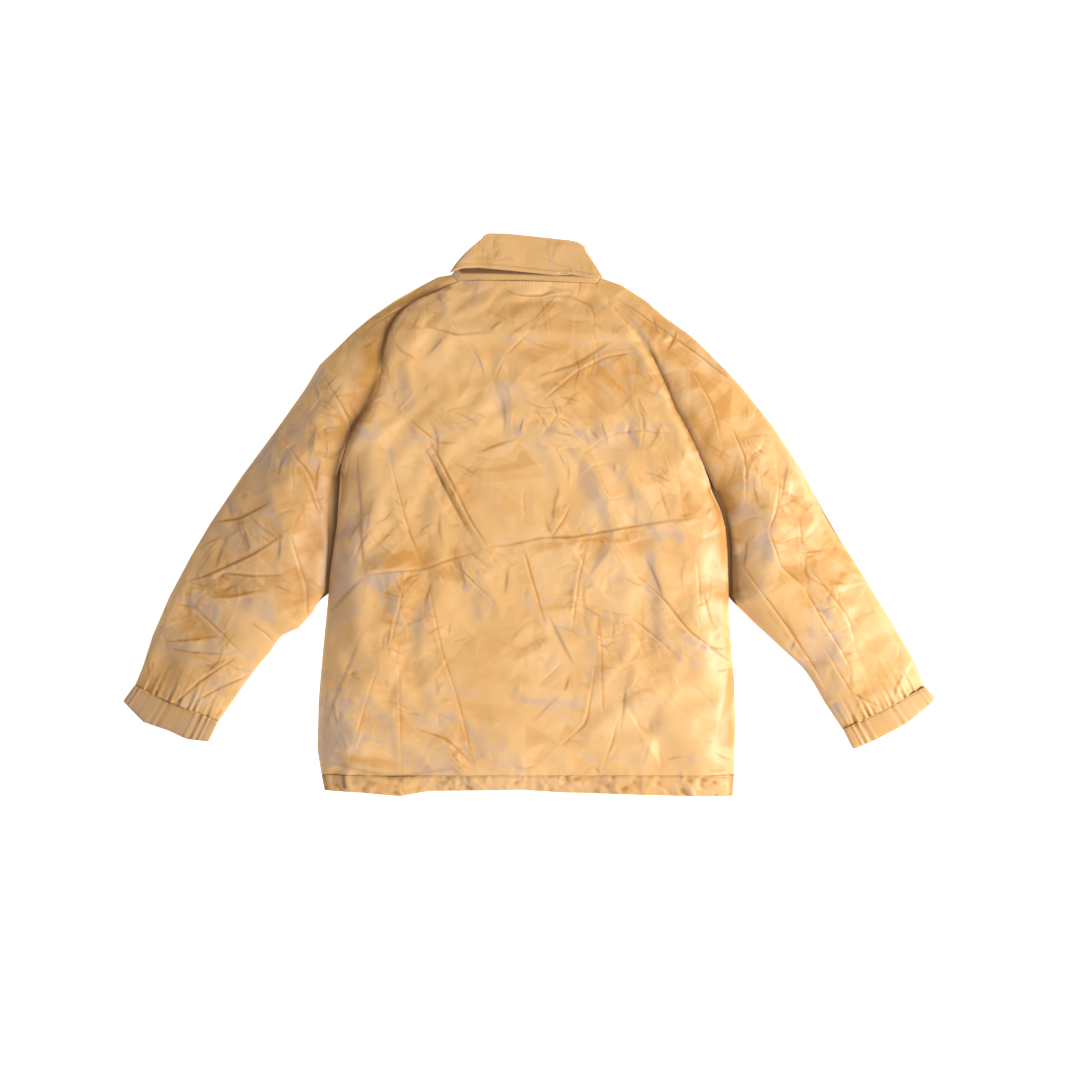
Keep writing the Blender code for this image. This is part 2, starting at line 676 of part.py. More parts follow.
def build_snap(number, y):
    """One press stud: the button with its socket in the left placket, the stud in the right."""
    shank = SNAP_HOLE_RADIUS - 0.0004
    under, over = LEFT_PLACKET_TOP - PLACKET - 0.0003, LEFT_PLACKET_TOP + 0.0003
    button = [(0.0, over + 0.0005), (0.0026, over + 0.0005), (0.0026, over + 0.0017), (0.0055, over + 0.0017),
              (0.0055, over), (shank, over), (shank, under), (0.0075, under), (0.0075, under - 0.0007),
              (0.0050, under - 0.0012), (0.0, under - 0.0013)]
    turned(f"snap_button_{number}", button, 0.0, y)
    under, over = RIGHT_PLACKET_TOP - PLACKET - 0.0003, RIGHT_PLACKET_TOP + 0.0003
    stud = [(0.0, over + 0.0010), (0.0040, over + 0.0009), (0.0045, over), (shank, over), (shank, under),
            (0.0055, under), (0.0055, under - 0.0007), (0.0018, under - 0.0008), (0.0021, under - 0.0013),
            (0.0016, under - 0.0018), (0.0, under - 0.0019)]
    turned(f"snap_stud_{number}", stud, 0.0, y)


# ---------------------------------------------------------------- what moves

FRONT_PIECES = ["front_panel", "front_lining", "placket", "front_hem_casing", "hem_eyelet", "front_stand",
                "collar_point", "pocket_welt", "pocket_bag"]
SLEEVE_PIECES = ["sleeve_back", "sleeve_front", "sleeve_lining", "cuff_casing", "cuff_elastic"]


def hang_on(axis_name, place, names):
    """Parents pieces to an empty on the axis they turn on, and leaves them where they lie."""
    empty = bpy.data.objects.new(axis_name, None)
    empty.location = place
    jacket.objects.link(empty)
    bpy.context.view_layer.update()
    for name in names:
        piece = jacket.objects[name]
        piece.parent = empty
        piece.matrix_parent_inverse = empty.matrix_world.inverted()


def midpoint(line, height):
    (x0, y0), (x1, y1) = line
    return ((x0 + x1) / 2, (y0 + y1) / 2, height)


def hang_moving_pieces():
    hang_on("collar_axis", midpoint(ROLL_LINE, COLLAR_AXIS_Z), [layer[0] for layer in COLLAR_LAYERS])
    hang_on("hanger_loop_axis", (0.0, HANGER_Y[1], HANGER_BOTTOM + HANGER_TAPE / 2), ["hanger_loop"])
    for label, side in SIDES:
        sleeve = [f"{label}_{piece}" for piece in SLEEVE_PIECES]
        hang_on(f"{label}_sleeve_axis", (side * SLEEVE_FOLD_X, 0.0, SLEEVE_AXIS_Z), sleeve)
        half = "button" if label == "left" else "stud"
        front = [f"{label}_{piece}" for piece in FRONT_PIECES]
        front += [f"snap_{half}_{number}" for number in range(1, SNAP_COUNT + 1)]
        fold = [(side * x, y) for x, y in (NECK_SIDE, HEM_SIDE)]
        hang_on(f"{label}_front_axis", midpoint(fold, 0.0), front)


build_back()
build_hanger_loop()
build_collar()
for side_name, sign in SIDES:
    build_arm(side_name, sign)
    build_front(side_name, sign)
build_plackets()
hang_moving_pieces()
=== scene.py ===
import json
import math

import bpy
import numpy as np
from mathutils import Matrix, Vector
from mathutils.geometry import delaunay_2d_cdt

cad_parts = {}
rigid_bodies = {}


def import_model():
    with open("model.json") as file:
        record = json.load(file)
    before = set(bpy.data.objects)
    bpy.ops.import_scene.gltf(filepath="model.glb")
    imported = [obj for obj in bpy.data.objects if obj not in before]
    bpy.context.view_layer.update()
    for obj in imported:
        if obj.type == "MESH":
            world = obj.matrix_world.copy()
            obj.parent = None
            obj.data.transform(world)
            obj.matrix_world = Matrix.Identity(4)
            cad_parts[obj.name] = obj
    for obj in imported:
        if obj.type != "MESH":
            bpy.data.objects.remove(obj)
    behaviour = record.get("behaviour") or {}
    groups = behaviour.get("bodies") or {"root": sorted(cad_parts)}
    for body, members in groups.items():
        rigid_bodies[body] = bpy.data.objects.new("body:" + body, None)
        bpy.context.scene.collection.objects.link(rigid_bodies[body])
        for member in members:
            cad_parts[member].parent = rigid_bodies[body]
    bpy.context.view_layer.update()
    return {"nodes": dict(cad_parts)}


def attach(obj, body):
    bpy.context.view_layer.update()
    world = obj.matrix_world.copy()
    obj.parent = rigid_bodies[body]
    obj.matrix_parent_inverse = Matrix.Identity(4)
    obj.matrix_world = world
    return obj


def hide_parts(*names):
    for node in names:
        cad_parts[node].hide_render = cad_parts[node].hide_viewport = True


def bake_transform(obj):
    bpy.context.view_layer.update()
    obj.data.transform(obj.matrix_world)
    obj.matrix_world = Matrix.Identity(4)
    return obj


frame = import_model()


def mm(*numbers):
    """Plan points in metres, from the x and y of each in millimetres."""
    return [(x / 1000, y / 1000) for x, y in zip(numbers[::2], numbers[1::2])]


# The lay of the jacket in the frame: the wearer's left side is at -X, the collar at +Y. Each
# sleeve's outline starts at the neck. A slit is where body and sleeve part above the armpit.
OVERARM = {
    "left": mm(-112, 350, -132, 347, -155, 335, -196, 312, -229, 289, -258, 265, -281, 242, -305, 219,
               -326, 184, -367, 126, -418, 57, -465, -13, -492, -59, -523, -117, -548, -175, -563, -222,
               -574, -248),
    "right": mm(104, 346, 135, 335, 171, 312, 197, 289, 231, 265, 257, 242, 291, 207, 312, 184, 358, 126,
                398, 64, 439, -13, 484, -83, 526, -152, 560, -210, 569, -233, 576, -249),
}
RAGLAN = {
    "left": mm(-104, 340, -131, 326, -161, 314, -182, 300, -194, 286, -203, 268, -209, 244, -214, 211,
               -221, 179, -236, 155, -250, 132, -263, 107, -274, 74),
    "right": mm(98, 336, 118, 308, 138, 287, 154, 269, 168, 246, 181, 226, 190, 206, 202, 180, 211, 156,
                224, 134, 243, 96, 258, 63),
}
BODY_SLIT = {
    "left": mm(-275, 55, -277, 25, -280, -17, -285, -50, -290, -85, -292, -115),
    "right": mm(266, 35, 278, 11, 286, -17, 289, -51, 290, -89, 291, -118),
}
SLEEVE_SLIT = {
    "left": mm(-283, 50, -288, 20, -290, -17, -292, -55, -294, -85, -295.5, -108),
    "right": mm(273, 32, 285, 8, 292, -20, 295, -51, 295.5, -85, 295.5, -115),
}
SIDE = {
    "left": mm(-293, -129, -300, -199, -306, -268, -308, -340, -302, -377),
    "right": mm(291, -141, 294, -187, 299, -240, 300, -300, 299, -377),
}
UNDERARM = {
    "left": mm(-302, -120, -315, -141, -335, -164, -362, -176, -377, -199, -397, -222, -422, -257,
               -452, -300),
    "right": mm(303, -132, 323, -152, 361, -187, 399, -222, 415, -245, 430, -272, 457, -312),
}
CUFF_END = {
    "left": mm(-590, -270, -560, -300, -522, -313, -497, -325, -466, -329),
    "right": mm(591, -267, 577, -279, 550, -301, 506, -325, 471, -340),
}
HEM_EDGE = mm(-297, -400, -245, -402, -186, -407, -144, -400, -13, -398, 45, -402, 126, -404, 217, -407,
              296, -408.5)
BAND_TOP_Y = -0.377
FRONT_EDGE_X = 0.020
ARM_FOLD_X = 0.310
HEM_Y = -0.4086
FRONT_FOLD = {
    "left": ((-0.100, 0.352), (-0.272, HEM_Y)),
    "right": ((0.100, 0.352), (0.272, HEM_Y)),
}
SIGN = {"left": -1.0, "right": 1.0}
SIDES = ("left", "right")

# Heights, as in the frame: the upper layer is puffed up over the lower one. PUFF_WIDTH is how far
# in from a closed edge it reaches its crown, RIM the width of the edge's own rounding.
EDGE_LOW = 0.0016
EDGE_TOP = 0.0040
BODY_CROWN = 0.0265
SLEEVE_CROWN = 0.0150
HEM_CROWN = 0.0195
NECK_CROWN = 0.0136
PUFF_WIDTH = 0.070
RIM = 0.0045

CLOTH = 0.0005  # thickness of the shell
THIN_CLOTH = 0.0004  # thickness of linings, bands and the collar
CELL = 0.0015  # spacing of the finished grid of the upper layer
COARSE_CELL = 0.0065  # spacing of the grid that the cloth simulation moves


# ---------------------------------------------------------------- curves and heights

def resample(points, count, rounding=0):
    """The polyline as count points evenly spaced along it, with its corners eased."""
    points = np.array(points, float)
    steps = np.concatenate([[0], np.cumsum(np.linalg.norm(np.diff(points, axis=0), axis=1))])
    at = np.linspace(0, steps[-1], count)
    found = np.stack([np.interp(at, steps, points[:, k]) for k in range(points.shape[1])], axis=1)
    for _ in range(rounding):
        found[1:-1] = 0.25 * found[:-2] + 0.5 * found[1:-1] + 0.25 * found[2:]
    return found


def nearest(points, line):
    """For each plan point: its distance to the line, on which side it lies, and how far along."""
    line = np.array(line, float)
    best = np.full(len(points), 1e9)
    side = np.zeros(len(points))
    share = np.zeros(len(points))
    lengths = np.linalg.norm(np.diff(line, axis=0), axis=1)
    total, done = lengths.sum(), 0.0
    for a, b, length in zip(line, line[1:], lengths):
        d = (b - a) / length
        rel = points - a
        t = np.clip(rel @ d, 0, length)
        off = rel - t[:, None] * d
        distance = np.hypot(off[:, 0], off[:, 1])
        closer = distance < best
        best[closer] = distance[closer]
        side[closer] = np.sign(d[0] * rel[:, 1] - d[1] * rel[:, 0])[closer]
        share[closer] = ((done + t) / total)[closer]
        done += length
    return best, side, share


def length_of(line):
    """The length of a polyline."""
    return np.linalg.norm(np.diff(np.array(line, float), axis=0), axis=1).sum()


def smooth(t):
    """From 0 to 1 with level ends."""
    t = np.clip(t, 0, 1)
    return t * t * (3 - 2 * t)


# Edges at which the upper layer is joined to the lower one, as the body and the sleeves see them.
CLOSED = [OVERARM[side] for side in SIDES]
CLOSED += [BODY_SLIT[side] + SIDE[side] for side in SIDES]
CLOSED += [UNDERARM[side] for side in SIDES]
CLOSED += [[SIDE["left"][-1], HEM_EDGE[0]], [SIDE["right"][-1], HEM_EDGE[-1]]]
SLEEVE_CLOSED = [OVERARM[side] for side in SIDES]
SLEEVE_CLOSED += [SLEEVE_SLIT[side] + UNDERARM[side] for side in SIDES]


def reach_of(points, lines):
    """Distance of each point to the nearest of the lines."""
    return np.min([nearest(points, line)[0] for line in lines], axis=0)


def puff(points, near=None):
    """Height of the upper layer's top face, before creases, from its distance to the closed edges."""
    near = reach_of(points, CLOSED) if near is None else near
    x, y = np.abs(points[:, 0]), points[:, 1]
    body = BODY_CROWN - (BODY_CROWN - SLEEVE_CROWN) * smooth((x - 0.30) / 0.22)
    hem = HEM_CROWN + (body - HEM_CROWN) * smooth((y - HEM_Y) / 0.080)
    neck = NECK_CROWN + (body - NECK_CROWN) * smooth((0.345 - y) / 0.090)
    crown = np.where(x > ARM_FOLD_X, np.minimum(body, neck), np.minimum(hem, neck))
    lift = 1 - (1 - np.clip(near / PUFF_WIDTH, 0, 1)) ** 2
    rim = np.sqrt(1 - (1 - np.clip(near / RIM, 0, 1)) ** 2)
    return EDGE_LOW + (EDGE_TOP - EDGE_LOW + (crown - EDGE_TOP) * lift) * (0.25 + 0.75 * rim)


def random_grid(cell, seed):
    """Scattered points, about one for each square of that size."""
    rng = np.random.default_rng(seed)
    xs = np.arange(-0.70, 0.70, cell)
    ys = np.arange(-0.52, 0.52, cell)
    grid = np.stack(np.meshgrid(xs, ys), axis=-1).reshape(-1, 2)
    return grid + rng.uniform(-0.45, 0.45, grid.shape) * cell


def crumple(points, cell, seed):
    """A network of crisp creases, from -1 to 1: ridges and valleys along the borders between
    scattered cells, each border with its own height, fading where borders meet."""
    sharp = 0.12
    at_once = 6000
    seeds = random_grid(cell, seed)
    warp = 0.22 * cell
    turn = 2 * math.pi / (2.3 * cell)
    x = points[:, 0] + warp * np.sin(turn * points[:, 1] + seed)
    y = points[:, 1] + warp * np.sin(turn * points[:, 0] + 2 * seed)
    value = np.zeros(len(points))
    for start in range(0, len(points), at_once):
        part = slice(start, start + at_once)
        d = np.hypot(x[part, None] - seeds[:, 0], y[part, None] - seeds[:, 1])
        three = np.argpartition(d, 3, axis=1)[:, :3]
        near = np.take_along_axis(d, three, axis=1)
        order = np.argsort(near, axis=1)
        near = np.take_along_axis(near, order, axis=1)
        three = np.take_along_axis(three, order, axis=1)
        low, high = three[:, :2].min(axis=1), three[:, :2].max(axis=1)
        chance = np.sin(low * 12.9898 + high * 78.233 + seed) * 43758.5453
        chance = 2 * (chance - np.floor(chance)) - 1
        height = np.sign(chance) * np.abs(chance) ** 1.4
        fade = smooth((near[:, 2] - near[:, 1]) / (0.35 * cell))
        value[part] = height * fade * np.exp(-(near[:, 1] - near[:, 0]) / (2 * sharp * cell))
    return value


def waves(points, length, seed):
    """Soft undulation from -1 to 1 with about that wavelength."""
    rng = np.random.default_rng(seed)
    value = np.zeros(len(points))
    for _ in range(7):
        angle = rng.uniform(0, math.pi)
        size = length * rng.uniform(0.7, 1.5)
        phase = points @ np.array([math.cos(angle), math.sin(angle)]) * 2 * math.pi / size
        value += np.sin(phase + rng.uniform(0, 6.28))
    return value / 3.2


# The photo's long creases, in millimetres: the height of each (a valley is negative), the width of
# its steep and of its gentle side, and where it runs. The gentle side is to its right.
BODY_CREASES = [
    (-2.6, 3, 12, -239, -88, -202, -83, -155, -80, -113, -65, -62, -49),
    (2.4, 3, 11, -62, -49, -16, -45, 13, -36, 64, -36, 152, -20, 250, -5),
    (4.0, 4, 16, -144, 103, -112, 40, -88, -8, -62, -48),
    (-3.0, 4, 9, -150, 100, -124, 45, -100, 0, -81, -34),
    (2.2, 3, 9, -113, -67, -80, -100, -46, -133),
    (2.6, 3, 10, -10, -48, 4, -100, 23, -164),
    (-2.0, 3, 8, 29, -145, 45, -180, 64, -215),
    (2.4, 3, 10, 81, -39, 68, -94, 59, -165),
    (2.6, 3, 9, 58, 15, 46, -8, 29, -32),
    (2.0, 3, 9, 93, -119, 100, -180, 102, -238, 104, -287),
    (3.0, 3, 12, 149, -86, 193, -123, 229, -170, 293, -216),
    (-2.4, 3, 9, 170, -65, 182, -92, 193, -119),
    (2.2, 3, 8, 239, -65, 243, -98, 245, -132),
    (2.2, 3, 9, 146, -151, 178, -175, 209, -204),
    (2.4, 3, 12, 93, -213, 86, -260, 80, -299, 45, -331),
    (2.0, 3, 8, 128, -287, 118, -325, 104, -368),
    (-1.8, 3, 7, 138, -244, 136, -280, 132, -310),
    (1.6, 2.5, 7, -189, -213, -187, -300, -186, -385),
    (1.8, 3, 10, -151, -80, -126, -199, -107, -255, -80, -365),
    (-1.6, 3, 9, -239, -167, -270, -240, -302, -326),
    (1.5, 3, 9, -216, -204, -238, -275, -262, -357),
    (-2.2, 3, 9, -239, -91, -268, -118, -292, -144),
    (1.8, 3, 9, -179, -81, -190, -140, -206, -206),
    (2.4, 3, 10, -174, 135, -130, 99, -99, 100),
    (2.0, 3, 8, -72, 86, -40, 98, -15, 106),
    (2.4, 3, 12, 1, 265, -37, 230, -50, 197),
    (1.8, 2.5, 7, -39, 328, -22, 316, 21, 315, 37, 325, 64, 325),
    (1.8, 2.5, 8, 27, 315, 60, 315, 89, 302, 94, 275),
    (3.0, 3, 13, 155, 237, 111, 230, 71, 210, 13, 161),
    (-2.2, 3, 10, 116, 248, 65, 215, 9, 197),
    (2.2, 3, 10, 209, 119, 165, 124, 120, 119, 76, 88),
    (1.8, 3, 8, -261, 94, -270, 50, -276, 6),
    (-1.8, 3, 10, -248, 87, -243, -25, -238, -85),
    (1.8, 3, 10, -205, 94, -191, 35, -175, -25, -155, -80),
    (2.0, 3, 9, -165, -310, -120, -325, -80, -365),
    (1.6, 3, 9, 150, 170, 165, 130, 158, 90),
    (1.8, 3, 12, -150, 270, -100, 255, -50, 262),
]
SLEEVE_CREASES = {
    "left": [
        (2.4, 3, 10, -120, 338, -160, 315, -200, 296, -236, 274),
        (3.0, 3, 12, -463, -13, -418, -8, -371, 17),
        (3.4, 3, 13, -501, -99, -468, -92, -400, -60, -353, -30),
        (-2.6, 3, 10, -465, -104, -442, -84, -400, -88, -353, -86),
        (2.2, 3, 9, -457, -122, -420, -118, -383, -110),
        (2.8, 3, 11, -495, -128, -445, -175, -418, -202),
        (2.2, 3, 9, -528, -187, -485, -184, -445, -177),
        (-2.2, 3, 9, -528, -193, -480, -200, -427, -202),
        (4.2, 3, 14, -427, -205, -480, -240, -528, -284),
        (2.8, 3, 10, -403, -229, -442, -244, -489, -270),
        (2.4, 3, 9, -403, -158, -388, -170, -371, -187),
        (3.0, 3, 12, -347, -30, -326, -99, -323, -152),
        (2.6, 3, 16, -360, 110, -320, 60, -300, 0),
        (2.0, 3, 12, -300, 200, -268, 150, -255, 110),
    ],
    "right": [
        (2.6, 3, 10, 120, 316, 190, 268, 264, 215, 297, 190),
        (-2.4, 3, 8, 216, 268, 208, 252, 200, 235),
        (3.0, 3, 12, 360, 49, 357, 12, 345, -22),
        (3.0, 3, 12, 345, -25, 363, -75, 399, -107),
        (3.2, 3, 13, 399, -110, 425, -158, 464, -220),
        (2.6, 3, 11, 407, -81, 461, -149, 470, -187),
        (3.4, 3, 13, 307, -75, 360, -146, 413, -223, 431, -255),
        (2.8, 3, 11, 425, -193, 467, -261, 514, -283),
        (2.2, 3, 9, 390, -4, 393, -59, 437, -52),
        (2.4, 3, 7, 532, -270, 535, -247, 544, -232),
        (2.4, 3, 14, 290, 130, 310, 80, 312, 20),
        (2.0, 3, 12, 230, 215, 262, 160, 275, 110),
    ],
}


def crease_lines(creases):
    """Each named crease as three lines with heights: its ridge, and the foot on either side. The
    feet meet the ridge at both ends, so the crease is a long lens with sharp edges."""
    spacing = 0.013
    lines = []
    for height, steep, gentle, *line in creases:
        line = mm(*line)
        ridge = resample(line, max(5, int(length_of(line) / spacing)), 1)
        lens = np.sin(math.pi * np.linspace(0.02, 0.98, len(ridge))) ** 0.7
        ahead = np.gradient(ridge, axis=0)
        ahead /= np.linalg.norm(ahead, axis=1, keepdims=True)
        left = np.stack([-ahead[:, 1], ahead[:, 0]], axis=1)
        top = 0.50 * height / 1000 * lens
        lines.append((ridge, top))
        lines.append((ridge + left * (steep / 1000 * lens)[:, None], -0.15 * top))
        lines.append((ridge - left * (2.0 * gentle / 1000 * lens)[:, None], -0.10 * top))
    return lines


def around(points, line, reach):
    """Which of the plan points lie in the line's own box, or this far outside it."""
    return np.all((points > line.min(axis=0) - reach) & (points < line.max(axis=0) + reach), axis=1)


def in_box(points, order, ys, low, high):
    """The numbers of the points in a box. order is the numbers of all the points, sorted by y,
    and ys is their y."""
    start, end = np.searchsorted(ys, [low[1], high[1]])
    part = order[start:end]
    return part[(points[part, 0] >= low[0]) & (points[part, 0] <= high[0])]


def dark_line(away, foot, width):
    """A line of painted shade: 1 at the foot of a crease, fading out on both sides of it."""
    return np.exp(-(((away - foot) / width) ** 2))


def fill_beside(away, width):
    """1 beside a crease as far as that width, with crisp edges, and 0 elsewhere."""
    crisp = 0.0012
    return smooth((away + width) / crisp + 0.5) * smooth(0.5 - away / crisp)


def crease_shading(points, creases):
    """The painted light of the named creases: thin lines of painted shade along their steep feet, and
    tints that fill them with a crisp edge, amber painted shade (positive) beside a ridge and lavender
    painted sheen (negative) in a valley."""
    painted_shade, tint = np.zeros(len(points)), np.zeros(len(points))
    for height, steep, gentle, *line in creases:
        line = np.array(mm(*line))
        part = around(points, line, 0.012)
        distance, side, share = nearest(points[part], resample(line, 24, 1))
        lens = np.sin(math.pi * np.clip(share, 0, 1)) ** 0.6
        away = distance * side
        foot = steep / 1000 if height > 0 else 0.0
        fold_shade = abs(height) / 3 * lens * dark_line(away, foot, 0.0016)
        painted_shade[part] = np.maximum(painted_shade[part], fold_shade)
        tint[part] += 0.09 * height * lens * fill_beside(away, 0.6 * gentle / 1000 * lens)
    return painted_shade, tint


def facets(points, cell, rough, seed, lines=()):
    """Crumpled cloth as flat facets that meet in crisp creases: a net of triangles over scattered
    points and along the given lines. Returns the height at each point, and a random tone for the
    facet that it lies on."""
    rng = np.random.default_rng(seed)
    low, high = points.min(axis=0) - 2 * cell, points.max(axis=0) + 2 * cell
    knots = random_grid(cell, seed)
    knots = knots[np.all((knots > low) & (knots < high), axis=1)]
    for line, _ in lines:
        knots = knots[nearest(knots, line)[0] > 0.35 * cell]
    heights = rng.uniform(-rough, rough, len(knots))
    edges = []
    for line, line_heights in lines:
        edges += [(len(knots) + k, len(knots) + k + 1) for k in range(len(line) - 1)]
        knots = np.concatenate([knots, line])
        heights = np.concatenate([heights, line_heights])
    net = delaunay_2d_cdt([Vector(p) for p in knots], edges, [], 0, 1e-6)
    corners = np.array([tuple(p) for p in net[0]])
    level = np.array([heights[np.argmin(np.hypot(*(knots - p).T))] for p in corners])
    order = np.argsort(points[:, 1])
    ys = points[order, 1]
    value, tone = np.zeros(len(points)), np.zeros(len(points))
    for triangle in net[2]:
        (ax, ay), (bx, by), (cx, cy) = corners[triangle]
        low, high = corners[triangle].min(axis=0), corners[triangle].max(axis=0)
        part = in_box(points, order, ys, low, high)
        area = (bx - ax) * (cy - ay) - (cx - ax) * (by - ay)
        if not len(part) or abs(area) < 1e-12:
            continue
        dx, dy = points[part, 0] - ax, points[part, 1] - ay
        u = (dx * (cy - ay) - dy * (cx - ax)) / area
        v = (dy * (bx - ax) - dx * (by - ay)) / area
        inside = (u >= 0) & (v >= 0) & (u + v <= 1)
        weights = np.stack([1 - u - v, u, v], axis=1)[inside]
        value[part[inside]] = weights @ level[triangle]
        tone[part[inside]] = rng.uniform(-1, 1)
    return value, tone


def small_creases(points, count, seed):
    """Short sharp wrinkles scattered over the more crumpled areas, each a little bent: their
    height, and their painted shade lines and tints, as for the named creases."""
    rng = np.random.default_rng(seed)
    total, painted_shade, tint = (np.zeros(len(points)) for _ in range(3))
    order = np.argsort(points[:, 1])
    ys = points[order, 1]
    low, high = points.min(axis=0), points.max(axis=0)
    reach = 0.009
    for _ in range(count):
        place = rng.uniform(low, high)
        angle = rng.normal(0.95, 0.55) * rng.choice([-1, 1])
        length = rng.uniform(0.012, 0.066)
        height = rng.uniform(0.4, 1.3) * rng.choice([1, 1, -1])
        bends = angle + np.cumsum(rng.normal(0, 0.22, 4))
        if waves(place[None], 0.20, 6)[0] < rng.uniform(-0.9, 0.3):
            continue
        steps = np.stack([np.cos(bends), np.sin(bends)], axis=1) * length / 4
        line = place + np.concatenate([[[0, 0]], np.cumsum(steps, axis=0)])
        part = in_box(points, order, ys, line.min(axis=0) - reach, line.max(axis=0) + reach)
        if not len(part):
            continue
        distance, side, share = nearest(points[part], line)
        width = np.where(side > 0, 0.0022, reach) * (0.5 + length / 0.06)
        taper = np.sin(math.pi * np.clip(share, 0, 1)) ** 0.8
        total[part] += height / 1000 * taper * np.clip(1 - distance / width, 0, 1)
        away = distance * side
        foot = 0.0018 if height > 0 else 0.0
        fold_shade = 0.6 * abs(height) * taper * dark_line(away, foot, 0.0014)
        painted_shade[part] = np.maximum(painted_shade[part], fold_shade)
        tint[part] += 0.32 * height * taper * fill_beside(away, 0.006 * taper)
    return total, painted_shade, tint


def soften_grid(values, rounds=1, share=0.25):
    """A blur: in each round, each value takes that share from its neighbours on either side."""
    for _ in range(rounds):
        values = values.copy()
        values[1:-1] += share * (values[:-2] - 2 * values[1:-1] + values[2:])
        values[:, 1:-1] += share * (values[:, :-2] - 2 * values[:, 1:-1] + values[:, 2:])
    return values


# ---------------------------------------------------------------- meshes

def grid_faces(rows, cols):
    """The faces of a grid of points that are numbered row by row."""
    i = np.arange(rows - 1)[:, None] * cols + np.arange(cols - 1)[None, :]
    return np.stack([i, i + 1, i + cols + 1, i + cols], axis=-1).reshape(-1, 4)


def linked(name, data):
    """A new object in the scene."""
    obj = bpy.data.objects.new(name, data)
    bpy.context.scene.collection.objects.link(obj)
    return obj


def new_object(name, points, faces, material):
    """A smooth-shaded mesh object in the scene."""
    mesh = bpy.data.meshes.new(name)
    mesh.from_pydata([tuple(p) for p in points], [], [tuple(map(int, f)) for f in faces])
    mesh.shade_smooth()
    mesh.materials.append(material)
    return linked(name, mesh)


def with_height(flat, z):
    """The grid of plan points with these heights: (rows, columns, 3)."""
    return np.concatenate([flat, z.reshape(*flat.shape[:2], 1)], axis=-1)


def grid_object(name, grid, material, thickness=CLOTH):
    """A sheet from a grid of points (rows, columns, 3). Its thickness goes down from the given face,
    or, for a face that looks down, up."""
    obj = new_object(name, grid.reshape(-1, 3), grid_faces(*grid.shape[:2]), material)
    if thickness:
        solid = obj.modifiers.new("cloth", "SOLIDIFY")
        solid.thickness = thickness
        solid.offset = -1.0
    return obj


def plan(left, right, cell):
    """Plan points between two edge curves, about one for each cell: (rows, columns, 2)."""
    a, b = np.array(left, float), np.array(right, float)
    long_way = max(length_of(a), length_of(b))
    rows = max(3, int(long_way / cell))
    a, b = resample(a, rows, 3), resample(b, rows, 3)
    cols = max(3, int(np.linalg.norm(b - a, axis=1).max() / cell))
    t = np.linspace(0, 1, cols)[None, :, None]
    return a[:, None] * (1 - t) + b[:, None] * t


def upsample(grid, rows, cols):
    """The grid of values, smoothly interpolated to more rows and columns."""
    for axis, count in ((0, rows), (1, cols)):
        grid = np.moveaxis(grid, axis, 0)
        n = len(grid)
        at = np.linspace(0, n - 1, count)
        i = np.clip(at.astype(int), 0, n - 2)
        t = (at - i).reshape(-1, *[1] * (grid.ndim - 1))
        p0, p1, p2, p3 = (grid[np.clip(i + k, 0, n - 1)] for k in (-1, 0, 1, 2))
        cubic = 2 * p0 - 5 * p1 + 4 * p2 - p3 + t * (3 * (p1 - p2) + p3 - p0)
        grid = p1 + 0.5 * t * (p2 - p0 + t * cubic)
        grid = np.moveaxis(grid, 0, axis)
    return grid


def face_up(obj):
    """Turns a sheet's faces over if they look down."""
    if obj.data.polygons[0].normal.z < 0:
        obj.data.flip_normals()


def evaluated(obj):
    """The object with its modifiers worked out."""
    bpy.context.view_layer.update()
    return obj.evaluated_get(bpy.context.evaluated_depsgraph_get())


def apply_modifiers(obj):
    """Makes what the modifiers do into the object's own mesh."""
    mesh = bpy.data.meshes.new_from_object(evaluated(obj))
    obj.modifiers.clear()
    obj.data = mesh


def weld(obj, reach):
    """Joins points that are closer than that."""
    obj.modifiers.new("weld", "WELD").merge_threshold = reach


BUCKLING_FRAMES = 22
LOOSE_HOLD = 0.12  # how strongly the inner points are held to where they start


def buckle(grid, growth, cap):
    """Lets the cloth grow a little against its own edges, so that it buckles as crumpled cloth
    does. Returns how far each point moved, at most cap."""
    rows, cols = grid.shape[:2]
    obj = new_object("buckling", grid.reshape(-1, 3), grid_faces(rows, cols), CLAY)
    hold = obj.vertex_groups.new(name="hold")
    index = np.arange(rows * cols).reshape(rows, cols)
    rim = np.ones((rows, cols), bool)
    rim[2:-2, 2:-2] = False
    hold.add([int(i) for i in index[rim]], 1.0, "REPLACE")
    hold.add([int(i) for i in index[~rim]], LOOSE_HOLD, "REPLACE")
    cloth = obj.modifiers.new("cloth", "CLOTH")
    settings = cloth.settings
    settings.quality = 5
    settings.mass = 0.10
    settings.tension_stiffness = 25
    settings.compression_stiffness = 25
    settings.shear_stiffness = 12
    settings.bending_stiffness = 1.5
    settings.air_damping = 4.0
    settings.vertex_group_mass = "hold"
    settings.pin_stiffness = 1.0
    settings.shrink_min = -growth
    settings.effector_weights.gravity = 0.0
    cloth.point_cache.frame_end = BUCKLING_FRAMES
    scene = bpy.context.scene
    for number in range(1, BUCKLING_FRAMES + 1):
        scene.frame_set(number)
    graph = bpy.context.evaluated_depsgraph_get()
    mesh = obj.evaluated_get(graph).data
    found = np.zeros(rows * cols * 3, np.float32)
    mesh.vertices.foreach_get("co", found)
    moved = found.reshape(rows, cols, 3).astype(float) - grid
    scene.frame_set(1)
    bpy.data.objects.remove(obj)
    moved = soften_grid(moved, 3)
    size = np.linalg.norm(moved, axis=-1, keepdims=True)
    return moved * np.minimum(1, cap / np.maximum(size, 1e-9))


def set_attribute(obj, name, values):
    """Gives each point of the mesh a value that the materials can read."""
    attribute = obj.data.attributes.get(name) or obj.data.attributes.new(name, "FLOAT", "POINT")
    attribute.data.foreach_set("value", np.asarray(values, np.float32).ravel())


